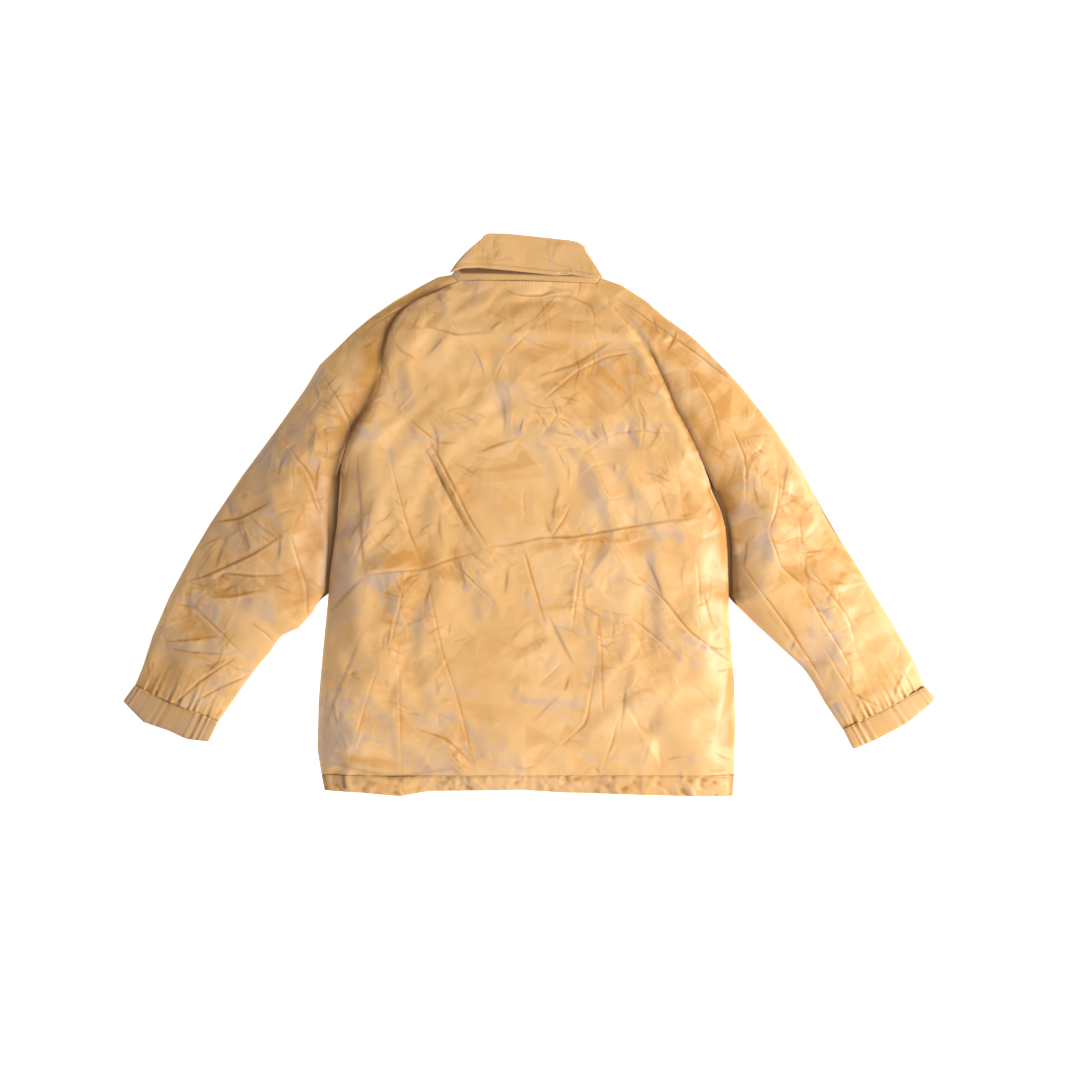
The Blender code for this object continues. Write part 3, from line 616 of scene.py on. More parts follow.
def soften(name, node, material, body, wobble, levels, sag=0.0):
    """A cloth piece in place of a simple CAD sheet: the same sheet, cut finer and made uneven. It
    sags away from the shell above it, except near the neck."""
    length = 0.03
    obj = linked(name, frame["nodes"][node].data.copy())
    obj.data.materials.clear()
    obj.data.materials.append(material)
    weld(obj, 1e-5)
    fine = obj.modifiers.new("fine", "SUBSURF")
    fine.subdivision_type = "SIMPLE"
    fine.levels = fine.render_levels = levels
    apply_modifiers(obj)
    mesh = obj.data
    co = np.array([v.co for v in mesh.vertices], float)
    uneven_by = waves(co[:, :2], length, len(name)), crumple(co[:, :2], length, 5)
    co[:, 2] += wobble * uneven_by[0] + 0.6 * wobble * uneven_by[1]
    co[:, 2] -= sag * smooth((0.250 - co[:, 1]) / 0.050) * smooth((co[:, 2] - 0.004) / 0.003)
    mesh.vertices.foreach_set("co", co.astype(np.float32).ravel())
    mesh.shade_smooth()
    mesh.set_sharp_from_angle(angle=math.radians(50))
    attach(obj, body)
    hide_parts(node)
    return obj


# ---------------------------------------------------------------- materials

def node(tree, kind, **values):
    """A new node, with these values set on it."""
    made = tree.nodes.new(kind)
    for key, value in values.items():
        setattr(made, key, value)
    return made


def new_material(name):
    """A material with its node tree, its shader, and where a point lies on the object."""
    material = bpy.data.materials.new(name)
    material.use_nodes = True
    tree = material.node_tree
    return material, tree, tree.nodes["Principled BSDF"], node(tree, "ShaderNodeTexCoord")


def set_inputs(made, **values):
    """Sets a node's own sockets, named with _ for a space."""
    for key, value in values.items():
        made.inputs[key.replace("_", " ")].default_value = value


def add_noise(tree, where, scale, detail):
    noise = node(tree, "ShaderNodeTexNoise")
    set_inputs(noise, Scale=scale, Detail=detail)
    tree.links.new(where.outputs["Object"], noise.inputs["Vector"])
    return noise.outputs["Fac"]


def fabric(name, base, roughness, sheen, weave, weave_height=0.12):
    """A plain woven cloth."""
    material, tree, shader, where = new_material(name)
    set_inputs(shader, Roughness=roughness, Specular_IOR_Level=0.35)
    set_inputs(shader, Sheen_Weight=sheen, Sheen_Roughness=0.45)
    ramp = node(tree, "ShaderNodeValToRGB")
    dull, bright = ramp.color_ramp.elements
    dull.position = 0.35
    bright.position = 0.68
    dull.color = (*[c * 0.86 for c in base], 1)
    bright.color = (*[min(1, c * 1.10) for c in base], 1)
    tree.links.new(add_noise(tree, where, 22.0, 5.0), ramp.inputs["Fac"])
    tree.links.new(ramp.outputs["Color"], shader.inputs["Base Color"])
    add_weave(tree, shader, where, weave, weave_height)
    return material


def add_weave(tree, shader, where, pitch, height):
    """Fine warp and weft ribs."""
    bump = node(tree, "ShaderNodeBump")
    set_inputs(bump, Strength=height, Distance=0.0002)
    heights = []
    for direction in ("X", "Y"):
        wave = node(tree, "ShaderNodeTexWave", bands_direction=direction)
        set_inputs(wave, Scale=1 / (pitch * 20), Distortion=0.4)
        tree.links.new(where.outputs["Object"], wave.inputs["Vector"])
        heights.append(wave.outputs["Fac"])
    both = node(tree, "ShaderNodeMath", operation="MAXIMUM")
    tree.links.new(heights[0], both.inputs[0])
    tree.links.new(heights[1], both.inputs[1])
    tree.links.new(both.outputs[0], bump.inputs["Height"])
    tree.links.new(bump.outputs["Normal"], shader.inputs["Normal"])


# GOLD and PALE_GOLD are the cloth's own colours. The lavender is painted sheen, the amber painted shade
# (and painted sheen where the cloth turns to the right), the umber painted shadow.
GOLD = (0.605, 0.340, 0.124)
PALE_GOLD = (0.670, 0.408, 0.180)
AMBER = (0.470, 0.215, 0.045)
LAVENDER = (0.460, 0.320, 0.235)
SHADOW_UMBER = (0.100, 0.042, 0.014)


def shot_nylon():
    """Nylon woven in two colours, gold and lavender, with random paler patches. The lavender is painted
    sheen, where the cloth turns from the key light; amber is painted shade and umber painted shadow,
    down in its folds. The pieces carry how much of each shows, as attributes."""
    material, tree, shader, where = new_material("shot_nylon")
    set_inputs(shader, Roughness=0.45, Specular_IOR_Level=0.32)
    set_inputs(shader, Sheen_Weight=0.12, Sheen_Roughness=0.35, Sheen_Tint=(1.0, 0.86, 0.70, 1.0))

    def mixed(fac, a, b):
        mix = node(tree, "ShaderNodeMix", data_type="RGBA")
        tree.links.new(fac, mix.inputs["Factor"])
        for socket, value in ((mix.inputs["A"], a), (mix.inputs["B"], b)):
            if isinstance(value, tuple):
                socket.default_value = (*value, 1)
            else:
                tree.links.new(value, socket)
        return mix.outputs["Result"]

    spread = node(tree, "ShaderNodeMapRange")
    set_inputs(spread, From_Min=0.35, From_Max=0.70)
    tree.links.new(add_noise(tree, where, 9.0, 4.0), spread.inputs["Value"])
    colour = mixed(spread.outputs["Result"], GOLD, PALE_GOLD)
    # Painted light over the gold: lavender painted sheen, amber painted shade, umber painted shadow.
    for name, shade in (("sheen_cast", LAVENDER), ("amber_shade", AMBER), ("painted_shade", SHADOW_UMBER)):
        attribute = node(tree, "ShaderNodeAttribute", attribute_name=name)
        colour = mixed(attribute.outputs["Fac"], colour, shade)
    tree.links.new(colour, shader.inputs["Base Color"])
    add_weave(tree, shader, where, 0.0005, 0.10)
    return material


def metal(name, base, roughness):
    """A brushed metal, a little uneven in tone and gloss."""
    material, tree, shader, where = new_material(name)
    set_inputs(shader, Metallic=1.0)
    noise = add_noise(tree, where, 900.0, 3.0)
    tone = node(tree, "ShaderNodeValToRGB")
    tone.color_ramp.elements[0].color = (*[c * 0.8 for c in base], 1)
    tone.color_ramp.elements[1].color = (*base, 1)
    rough = node(tree, "ShaderNodeMapRange")
    set_inputs(rough, To_Min=roughness - 0.08, To_Max=roughness + 0.12)
    tree.links.new(noise, tone.inputs["Fac"])
    tree.links.new(tone.outputs["Color"], shader.inputs["Base Color"])
    tree.links.new(noise, rough.inputs["Value"])
    tree.links.new(rough.outputs["Result"], shader.inputs["Roughness"])
    return material


CLAY = bpy.data.materials.new("clay")
NYLON = shot_nylon()
NYLON_PLAIN = fabric("plain_nylon", (0.58, 0.35, 0.15), 0.42, 0.25, 0.0005)
LINING = fabric("lining_taffeta", (0.36, 0.21, 0.11), 0.5, 0.2, 0.0005)
INTERLINING = fabric("interlining_felt", (0.62, 0.58, 0.50), 0.9, 0.1, 0.0009, 0.3)
ELASTIC = fabric("woven_elastic", (0.68, 0.65, 0.58), 0.7, 0.1, 0.0012, 0.5)
LABEL = fabric("woven_label", (0.05, 0.04, 0.035), 0.6, 0.3, 0.0004, 0.2)
THREAD = fabric("sewing_thread", (0.50, 0.29, 0.11), 0.5, 0.4, 0.0003, 0.4)
BRASS = metal("snap_brass", (0.62, 0.45, 0.20), 0.28)


# ---------------------------------------------------------------- colour of the upper layer, with its painted sheen and shade

# Patches of painted light, where the lavender painted sheen or the amber painted shade shows:
# centre and radii in millimetres, turn in degrees, strength.
LAVENDER_SHEEN_PATCHES = [
    (-262, -60, 22, 110, 0, 0.7), (-262, -300, 40, 60, 0, 0.5), (-238, 116, 18, 18, 0, 0.55),
    (-49, 172, 30, 30, 0, 0.35), (-19, 122, 32, 14, -15, 0.5), (57, 122, 40, 20, 0, 0.6),
    (138, 122, 50, 14, 12, 0.5), (-105, 225, 40, 22, 10, 0.3), (-181, -142, 30, 14, 0, 0.6),
    (-161, -173, 36, 13, -15, 0.6), (-222, -96, 20, 12, 0, 0.6), (-283, -152, 15, 40, 0, 0.55),
    (107, -91, 40, 30, 0, 0.45), (199, -30, 32, 12, -20, 0.6), (270, -152, 15, 32, 0, 0.55),
    (36, -254, 34, 30, 0, 0.4), (203, -128, 40, 8, -48, 0.65), (258, -192, 34, 6, -38, 0.7),
    (277, 210, 36, 10, -40, 0.65), (187, 274, 42, 10, -42, 0.55), (0, -250, 200, 120, 0, 0.16),
    (-150, -370, 60, 25, 0, 0.5), (90, 380, 40, 20, 0, 0.3), (-350, 60, 50, 60, -50, 0.35),
    (-470, -200, 50, 40, 0, 0.35), (340, 60, 40, 22, -60, 0.4), (430, -150, 22, 60, 30, 0.4),
    (-420, -20, 40, 18, 20, 0.45), (-250, 205, 14, 30, -30, 0.45),
]
AMBER_SHADE_PATCHES = [
    (250, 105, 16, 50, 28, 0.6), (170, 262, 14, 34, 36, 0.45), (150, -45, 60, 14, 8, 0.5),
    (-190, -62, 50, 18, 8, 0.5), (-226, 243, 18, 14, 0, 0.7), (-238, 170, 14, 40, -35, 0.45),
    (-140, 200, 40, 30, 0, 0.25), (290, 30, 14, 60, 8, 0.45), (-310, -20, 20, 85, 0, 0.75),
    (420, 10, 30, 50, 35, 0.2), (286, -60, 18, 120, 0, 0.55), (293, -280, 12, 110, 0, 0.4),
    (-232, 210, 20, 70, -20, 0.45), (-168, 322, 45, 10, 25, 0.5), (217, 180, 14, 70, 22, 0.4),
    (192, 285, 10, 40, 50, 0.4), (130, 212, 60, 34, -18, 0.28), (-270, 100, 16, 60, -15, 0.45),
    (-300, 200, 16, 50, -40, 0.4), (-330, -130, 30, 14, 30, 0.45), (300, -90, 16, 40, 0, 0.45),
    (-10, 300, 60, 20, -8, 0.2), (-520, -100, 12, 70, -30, 0.35), (-120, -60, 50, 10, 12, 0.35),
    (30, -45, 80, 8, 5, 0.35), (420, -80, 60, 160, 30, 0.14), (240, 235, 50, 50, 0, 0.22),
    (-286, -390, 12, 16, 0, 0.8), (-245, -355, 50, 10, -8, 0.55),
]

# Flat planes between the folds, with a crisp edge: how much amber painted shade (positive) or
# lavender painted sheen (negative) each shows, and its corners in millimetres.
PLANES = [
    (-0.4, -44, 122, 15, 130, 77, 122, 144, 145, 210, 130, 159, 91, 81, 89, 62, 110, 23, 91, -12, 108),
    (0.28, 15, 157, 62, 200, 152, 231, 179, 177, 136, 145, 66, 134),
    (-0.32, -59, 196, 11, 188, -1, 153, -36, 145, -59, 161),
    (-0.3, -114, 270, -59, 294, -16, 270, -67, 262),
    (-0.5, 31, 317, 58, 325, 85, 302, 93, 286, 54, 302),
    (0.3, -63, 298, -36, 286, -1, 262, -28, 262),
    (0.35, -75, 63, -20, 75, -12, 91, 42, 87, 27, 75, -36, 60),
    (-0.45, -211, 142, -196, 91, -192, 36, -203, 91),
    (-0.45, -250, 118, -219, 142, -207, 114, -231, 106),
    (0.4, -133, 91, -122, 67, -67, -42, -83, -26, -114, 36),
    (0.14, 155, -20, 202, 103, 230, 67, 234, -15, 175, -24),
    (0.4, -237, -81, -180, -50, -157, -61, -200, -77),
    (0.35, 62, -38, 155, -20, 171, -30, 128, -42),
    (-0.55, -235, -88, -178, -82, -211, -113, -225, -109),
    (0.28, -209, -113, -178, -84, -200, -164, -213, -152),
    (-0.4, -192, -129, -153, -144, -141, -168, -200, -168),
    (0.35, -149, -78, -114, -70, -67, -98, -141, -94),
    (-0.45, -110, -74, -90, -86, -45, -133, -75, -113),
    (0.45, -8, -51, 3, -78, 23, -160, 11, -133),
    (-0.5, 29, -144, 42, -164, 66, -215),
    (0.35, 81, -43, 66, -78, 60, -168, 56, -113),
    (-0.35, 155, -27, 175, -47, 193, -117, 179, -101),
    (-0.45, 148, -90, 175, -105, 234, -168, 214, -160),
    (-0.65, 202, -172, 234, -172, 292, -215, 245, -191),
    (-0.45, 169, -27, 210, -23, 230, -31, 202, -51),
    (-0.3, 241, -43, 245, -78, 244, -133, 235, -90),
    (0.5, 93, -121, 101, -168, 105, -277, 99, -215),
    (-0.28, -36, -246, 11, -242, 31, -273, -16, -273),
    (-0.38, -301, -322, -262, -320, -219, -289, -192, -285, -192, -359, -223, -324, -270, -334),
    (0.35, -98, -300, -83, -339, -77, -363, -102, -324),
    (-0.28, -192, -273, -172, -269, -125, -297, -161, -312),
    (-0.4, 222, -339, 249, -324, 276, -351, 237, -363),
    (0.25, -246, -183, -192, -168, -215, -203, -258, -332, -231, -230),
    (-0.28, -94, -293, -28, -324, -36, -343, -75, -339),
    (-0.42, -300, 215, -332, 170, -366, 120, -408, 63, -460, -7, -420, 6, -382, 33, -355, 63, -317, 128,
     -283, 208),
    (-0.45, -460, -11, -370, -17, -416, -59, -477, -38),
    (-0.6, -469, -106, -446, -139, -441, -183, -473, -154, -504, -125),
    (-0.45, -456, -124, -386, -114, -366, -139, -370, -162, -416, -135),
    (-0.5, -530, -190, -435, -178, -412, -202, -450, -203),
    (-0.5, -351, -32, -323, -21, -298, -63, -294, -93, -309, -97, -332, -74),
    (-0.55, -521, -280, -446, -228, -401, -223, -420, -249, -485, -280),
    (0.35, -460, -120, -446, -93, -435, -84, -401, -87, -374, -112, -431, -121),
    (0.35, -534, -188, -488, -133, -446, -175),
    (0.35, -370, -85, -332, -74, -317, -101, -325, -124, -366, -143),
    (0.35, -347, -32, -325, 21, -321, -25),
    (-0.5, -319, 82, -283, 80, -298, 63, -321, 55),
    (0.5, -307, 92, -277, 91, -283, 81, -309, 84),
    (-0.6, 233, 238, 257, 232, 299, 193, 273, 197, 233, 227),
    (0.32, 233, 209, 257, 201, 293, 165, 281, 137, 257, 101, 233, 137),
    (-0.5, 319, -38, 343, -24, 361, -74, 349, -66),
    (0.35, 365, -74, 396, -70, 404, -78, 400, -105, 381, -86),
    (0.4, 329, -102, 365, -86, 373, -98, 353, -113),
    (-0.3, 404, -90, 420, -113, 460, -213, 440, -189, 424, -153),
    (0.45, 365, -117, 377, -153, 408, -221, 373, -161),
    (-0.4, 412, -237, 444, -265, 472, -296, 456, -304, 432, -276),
]

# Shadowed lines down in the deepest folds: width, strength, and where each runs, in millimetres.
SHADOWS = [
    (5, 0.8, -98, 340, -131, 328, -161, 317, -184, 303, -197, 287, -206, 268, -213, 240, -220, 200),
    (7, 0.85, -212, 222, -222, 180, -240, 156, -254, 133, -268, 108, -280, 78, -288, 20, -292, -50,
     -297, -112, -298, -150),
    (3, 0.75, 172, 245, 182, 227, 191, 207, 204, 180, 212, 156, 224, 136, 232, 120),
    (5, 0.7, 206, 172, 224, 136, 244, 98, 261, 62, 277, 28, 293, -20, 297, -110, 298, -150),
    (10, 0.6, 298, -50, 303, -130),
    (75, 0.2, -340, 190, -400, 60, -470, -100, -550, -330),
    (60, 0.12, -500, -200, -560, -330),
    (18, 0.22, -288, 80, -303, 0, -312, -80, -320, -140),
    (3, 0.9, -300, -356, -268, -363, -236, -371, -190, -379, -141, -371, -97, -365),
    (3, 0.95, -269, -374, -268, -383, -266, -398),
    (4, 0.35, -240, -376, -236, -384, -222, -392),
    (30, 0.14, -120, 345, -200, 310, -300, 230, -360, 120),
    (24, 0.1, 150, 320, 230, 260, 300, 190),
]


def patchwork(points, patches):
    """How strongly the soft oval patches show at each point."""
    total = np.zeros(len(points))
    for x, y, length, width, turn, strength in patches:
        c, s = math.cos(math.radians(turn)), math.sin(math.radians(turn))
        dx, dy = points[:, 0] - x / 1000, points[:, 1] - y / 1000
        u, v = (dx * c + dy * s) / (length / 1000), (-dx * s + dy * c) / (width / 1000)
        total += strength * np.exp(-(u * u + v * v))
    return total


def plane_sheen_and_shade(points):
    """The painted sheen and shade of the flat planes at each point, as their tint."""
    total = np.zeros(len(points))
    for tint, *outline in PLANES:
        outline = mm(*outline)
        corners = np.array(outline)
        part = around(points, corners, 0.003)
        x, y = points[part].T
        inside = np.zeros(len(x), bool)
        for (ax, ay), (bx, by) in zip(corners, np.roll(corners, -1, axis=0)):
            inside ^= ((ay > y) != (by > y)) & (x < ax + (bx - ax) * (y - ay) / (by - ay + 1e-12))
        distance = nearest(points[part], [*outline, outline[0]])[0]
        total[part] += tint * smooth(0.5 + np.where(inside, distance, -distance) / 0.004)
    return total


def shadow_lines(points):
    """How dark the shadowed lines are at each point."""
    total = np.zeros(len(points))
    for width, strength, *line in SHADOWS:
        distance, _, share = nearest(points, resample(mm(*line), 14, 1))
        ends = smooth(share / 0.14) * smooth((1 - share) / 0.14)
        total = np.maximum(total, strength * ends * np.exp(-(distance / width * 1000) ** 1.2))
    return total


DEEP = 0.00035  # how far below the cloth around it a point counts as down in a fold


def shade_cloth(obj, grid, sheen_cast=0.0, tone=0.0, shadow=0.0, lines=0.0, tint=0.0):
    """Works out where the painted light shows: the lavender painted sheen, the amber painted shade
    and the dark painted shadow of the folds.
    """
    du, dv = np.gradient(grid, axis=1), np.gradient(grid, axis=0)
    normal = np.cross(du, dv)
    normal /= np.linalg.norm(normal, axis=-1, keepdims=True) + 1e-12
    normal *= np.sign(normal[..., 2:3] + 1e-9)
    # Down in a fold, below the cloth around it, counts as painted shade: more amber and dark, less
    # lavender.
    height = grid[..., 2]
    near = soften_grid(height, 1)
    far = soften_grid(height, 8)
    hollow = np.clip((far - near) / DEEP, -1, 1.6).ravel()
    flat = grid[..., :2].reshape(-1, 2)
    # Painted sheen by which way each face turns: lavender on faces turned to the left and towards the hem,
    # amber on faces turned to the right and towards the collar, as the shot cloth changes colour with the
    # light.
    slope = (0.8 * normal[..., 0] + 0.6 * normal[..., 1]).ravel()
    ragged = 0.55 + 0.9 * smooth(0.5 + 0.6 * waves(flat, 0.045, 7))
    turned = np.clip(-1.8 * slope, -0.5, 0.28)
    # The lavender painted sheen: the given amount, the sheen patches and the planes, with random waves and
    # facet tone.
    base = sheen_cast + 0.5 * patchwork(flat, LAVENDER_SHEEN_PATCHES) * ragged
    base = base + 0.18 * waves(flat, 0.15, 4) + 0.24 * tone - 0.16
    lavender = 1.15 * base + turned - 0.2 * np.clip(hollow, 0, 1) + np.maximum(-tint, 0)
    # The amber painted shade: the shade patches, the folds, the crease lines, the shadowed lines and the
    # planes, with random waves and facet tone.
    amber_shade = 1.15 * patchwork(flat, AMBER_SHADE_PATCHES) * ragged + 0.45 * hollow - 0.6 * turned - 0.05
    amber_shade = amber_shade + 0.6 * lines
    amber_shade += 0.14 * waves(flat, 0.18, 9) - 0.22 * tone + 0.5 * shadow + np.maximum(tint, 0.4 * tint)
    set_attribute(obj, "sheen_cast", np.clip(lavender, 0, 0.8))
    set_attribute(obj, "amber_shade", np.clip(amber_shade, 0, 0.9))
    # The dark painted shadow: deep in the folds, along the crease lines and along the shadowed lines.
    painted_shade = np.maximum(0.5 * hollow - 0.5, 0) + 0.30 * np.clip(lines, 0, 1) + shadow
    set_attribute(obj, "painted_shade", np.clip(painted_shade, 0, 0.9))


# ---------------------------------------------------------------- the upper layer

def gathers(points, seam, reach, pitch, height, seed):
    """Small pleats that run away from a gathered seam and fade out."""
    distance, _, share = nearest(points, resample(seam, 30))
    turn = 2 * math.pi * share * length_of(seam) / pitch
    ripple = np.sin(turn + 1.3 * np.sin(turn * 0.23 + seed)) + 0.5 * np.sin(turn * 1.63 + seed)
    return height * ripple * np.exp(-distance / reach)


def seam_valley(points, side, reach):
    """How far the cloth sinks at the raglan seam: more and more towards the armpit."""
    seam = RAGLAN[side] + BODY_SLIT[side][:2]
    distance, _, share = nearest(points, seam)
    depth = 0.0062 if side == "left" else 0.0048
    return depth * smooth(share / 0.35) * np.exp(-((distance / reach) ** 1.3))


LOWEST = -0.0019  # the deepest that the shell dips into its puffed shape, above its lining
TABLE_GAP = 0.0008  # the lowest that the top face comes to the table, in the armpits
LOOSE_FROM = 0.014  # how far from a closed edge the cloth starts to move freely


def above(values, floor):
    """The values, held above a floor with a soft knee."""
    knee = 0.0006
    return floor + knee * np.logaddexp(0, (values - floor) / knee)


def surface(points, near, creases, reach=(0.007, 0.007)):
    """The crumpled upper layer, from its plan points and their distances to its closed edges: its
    height, the random tone of its facets, and the painted shade lines and the painted sheen and shade
    tints of its creases. reach is how far the valley at the left and at the right raglan seam spreads."""
    seams = reach_of(points, [RAGLAN[side] for side in SIDES])
    big, tone = facets(points, cell=0.070, rough=0.0042, seed=3, lines=crease_lines(creases))
    middle, small_tone = facets(points, cell=0.031, rough=0.0021, seed=8)
    fine, _ = facets(points, cell=0.014, rough=0.00070, seed=13)
    wrinkles, small_dark, small_tint = small_creases(points, count=460, seed=21)
    painted_shade, tint = crease_shading(points, creases)
    ruffled = 0.30 + 0.70 * smooth(0.5 + 0.9 * waves(points, 0.20, 6))
    relief = big + ruffled * (middle + fine) + 0.0010 * waves(points, 0.13, 2) + wrinkles
    relief = above(relief + 0.0010, LOWEST) * smooth(near / 0.012) * smooth(seams / 0.010)
    z = puff(points, near) + relief
    for side, width in zip(SIDES, reach):
        z -= seam_valley(points, side, width)
    z = np.maximum(z, TABLE_GAP)
    return z, tone + 0.5 * small_tone, np.maximum(painted_shade, 0.65 * small_dark), tint + small_tint


def upper_sheet(name, left, right, creases, edges, seams, extra, reach=(0.007, 0.007), shadow=1.0):
    """A crumpled sheet of the upper layer between two edge curves. It doesn't buckle at its closed
    edges, nor at its seams. extra adds to its height."""
    coarse = plan(left, right, COARSE_CELL)
    flat = coarse.reshape(-1, 2)
    z = soften_grid(puff(flat, reach_of(flat, edges)).reshape(coarse.shape[:2]), 2)
    moved = buckle(with_height(coarse, z), growth=0.012, cap=0.0030)
    fine = plan(left, right, CELL)
    rows, cols = fine.shape[:2]
    flat = fine.reshape(-1, 2)
    near = reach_of(flat, edges)
    z, tone, lines, tint = surface(flat, near, creases, reach)
    z = soften_grid(z.reshape(rows, cols), 1, 0.14)
    z = z + (smooth(near / LOOSE_FROM) * extra(flat)).reshape(rows, cols)
    grid = with_height(fine, z)
    loose = smooth(near / LOOSE_FROM) * smooth(reach_of(flat, seams) / 0.020)
    shift = upsample(moved, rows, cols) * loose.reshape(rows, cols, 1)
    room = np.minimum(LOWEST - 0.0003 - (grid[..., 2] - puff(flat, near).reshape(rows, cols)), 0)
    shift[..., 2] = np.maximum(shift[..., 2], room)
    grid += shift
    obj = grid_object(name, grid, NYLON)
    shade_cloth(obj, grid, tone=tone, shadow=shadow * shadow_lines(flat), lines=lines,
                tint=tint + plane_sheen_and_shade(flat))
    return obj


HEM_PITCH = 0.021
NECK_LINE = mm(-100, 341, 98, 337)
HEM_LINE = [(-0.300, BAND_TOP_Y), (0.300, BAND_TOP_Y)]


def hem_ripple(points):
    """Puckers of the gathered hem, the same on both sides of its seam."""
    turn = 2 * math.pi * points[:, 0] / HEM_PITCH
    ripples = np.sin(turn + 2.5 * np.sin(turn * 0.17)) * (0.5 + 0.5 * np.sin(turn * 0.11 + 2.0))
    bunched = smooth((-0.22 - points[:, 0]) / 0.04)
    tucks = 0.0016 * bunched * np.sin(turn * 0.62 + 0.8 * np.sin(points[:, 1] * 160))
    return 0.00030 * ripples + 0.0005 * waves(points * (1, 0.2), 0.09, 17) + tucks


def build_back():
    left = NECK_LINE[:1] + RAGLAN["left"][1:] + BODY_SLIT["left"] + SIDE["left"]
    right = NECK_LINE[1:] + RAGLAN["right"][1:] + BODY_SLIT["right"] + SIDE["right"]

    def extra(flat):
        hem = hem_ripple(flat) * np.exp(-(flat[:, 1] - BAND_TOP_Y) / 0.014)
        raglan = sum(gathers(flat, RAGLAN[side], reach=0.008, pitch=0.019, height=0.00022, seed=4.0)
                     for side in SIDES)
        return hem + raglan + gathers(flat, NECK_LINE, reach=0.006, pitch=0.005, height=0.00012,
                                      seed=3.0)

    seams = [NECK_LINE, HEM_LINE]
    obj = upper_sheet("back_cloth", left, right, BODY_CREASES, CLOSED, seams, extra, shadow=0.3)
    face_up(obj)
    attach(obj, "back")
    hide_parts("back_panel")


def sleeve_edges(side):
    """The inner and the outer edge of a sleeve, each from the neck to the cuff."""
    return RAGLAN[side] + SLEEVE_SLIT[side] + UNDERARM[side], OVERARM[side]


def blend_sleeve(obj):
    """Bakes the cloth's transform into its mesh."""
    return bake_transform(obj)


def build_sleeve(side):
    inner, outer = sleeve_edges(side)
    cuff = [outer[-1], inner[-1]]

    def extra(flat):
        return gathers(flat, cuff, reach=0.020, pitch=0.012, height=0.0012, seed=1.0)

    obj = upper_sheet(f"{side}_sleeve_cloth", inner, outer, SLEEVE_CREASES[side], SLEEVE_CLOSED,
                      [cuff], extra, reach=(0.026, 0.016))
    face_up(obj)
    blend_sleeve(obj)
    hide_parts(f"{side}_shoulder_back", f"{side}_sleeve_back")

    seam = RAGLAN[side] + BODY_SLIT[side]
    inner = [(x - SIGN[side] * 0.0020, y) for x, y in seam] + UNDERARM[side]

    def low(flat):
        at_seam = 0.0012
        shoulder = 1 - smooth((np.abs(flat[:, 0]) - 0.28) / 0.05)
        away = smooth((nearest(flat, seam)[0] - 0.004) / 0.010)
        level = 0.0017 + 0.0006 * shoulder + 0.0005 * crumple(flat, 0.05, 21)
        level = level + 0.0003 * crumple(flat, 0.025, 22)
        return at_seam + (level - at_seam) * away

    under = flat_sheet(f"{side}_sleeve_under_cloth", inner, outer, low, NYLON)
    # Painted shadow down in the armpit slit, where the sleeve goes under the body.
    slit = resample(BODY_SLIT[side] + UNDERARM[side][:2], 20)
    points = np.array([tuple(v.co)[:2] for v in under.data.vertices])
    set_attribute(under, "painted_shade", 0.97 * np.exp(-((nearest(points, slit)[0] / 0.016) ** 2)))
    blend_sleeve(under)
    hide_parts(f"{side}_shoulder_front", f"{side}_sleeve_front")


# ---------------------------------------------------------------- flat pieces of the lower layer

def flat_sheet(name, left, right, height, material, cell=0.0045, thickness=CLOTH):
    """A sheet between two edge curves whose height is a function of its plan points."""
    flat = plan(left, right, cell)
    grid = with_height(flat, height(flat.reshape(-1, 2)))
    cross = np.cross(grid[0, 1] - grid[0, 0], grid[1, 0] - grid[0, 0])
    obj = grid_object(name, grid, material, thickness)
    if cross[2] < 0:
        obj.data.flip_normals()
    if material == NYLON:
        shade_cloth(obj, grid)
    return obj


def uneven(height, wobble, cell):
    """A height function: level, with small crumples."""
    return lambda flat: height + wobble * (crumple(flat, cell, 31) + 0.5 * waves(flat, 2 * cell, 31))


def mirrored(points, side):
    """Points of the right half, on the given side."""
    return [(SIGN[side] * x, y) for x, y in points]


def fold_x(side, y):
    """Where a front folds open, at this y."""
    (x0, y0), (x1, y1) = FRONT_FOLD[side]
    return x0 + (x1 - x0) * (y - y0) / (y1 - y0)


def blend_front(obj, side):
    """Works out the direction across the line on which the front folds open, and bakes the cloth's
    transform into its mesh.
    """
    (x0, y0), (x1, y1) = FRONT_FOLD[side]
    along = np.array([x1 - x0, y1 - y0])
    across = np.array([along[1], -along[0]]) / np.linalg.norm(along)
    across *= np.sign(across[0]) * SIGN[side]
    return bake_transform(obj)


def cut_hole(obj, shape):
    """Cuts the shape out of the piece, and takes it away."""
    obj.modifiers.new("hole", "BOOLEAN").object = shape
    apply_modifiers(obj)
    bpy.data.objects.remove(shape)


def block(corners, low, high):
    """An upright block on these plan corners, as a cutter."""
    n = len(corners)
    points = [(x, y, z) for z in (low, high) for x, y in corners]
    faces = [list(range(n))[::-1], list(range(n, 2 * n))]
    faces += [[i, (i + 1) % n, n + (i + 1) % n, n + i] for i in range(n)]
    mesh = bpy.data.meshes.new("cutter")
    mesh.from_pydata(points, [], faces)
    area = sum(a[0] * b[1] - b[0] * a[1] for a, b in zip(corners, corners[1:] + corners[:1]))
    if area < 0:
        mesh.flip_normals()
    return linked("cutter", mesh)


def cut_round(obj, x, y, radius, count, low, high):
    """Cuts a round hole with this many corners."""
    angles = np.arange(count) * math.pi / (count / 2)
    ring = [(x + radius * math.cos(a), y + radius * math.sin(a)) for a in angles]
    cut_hole(obj, block(ring, low, high))


THROUGH = (0, 0.02)  # a cut from the table up
FRONT_HEIGHT = 0.0026
FRONT_LINING_HEIGHT = 0.0099
POCKET_MOUTH = mm(170, -105, 206, -255)
WELT = (0.0066, 0.0244)  # from the middle of the mouth to the welt's two long edges
COLLAR_POINT = mm(52, 222, 96, 352, 6, 306, 68, 398)
FRONT_STAND = mm(4, 268, 97, 345, 4, 304, 68, 396)


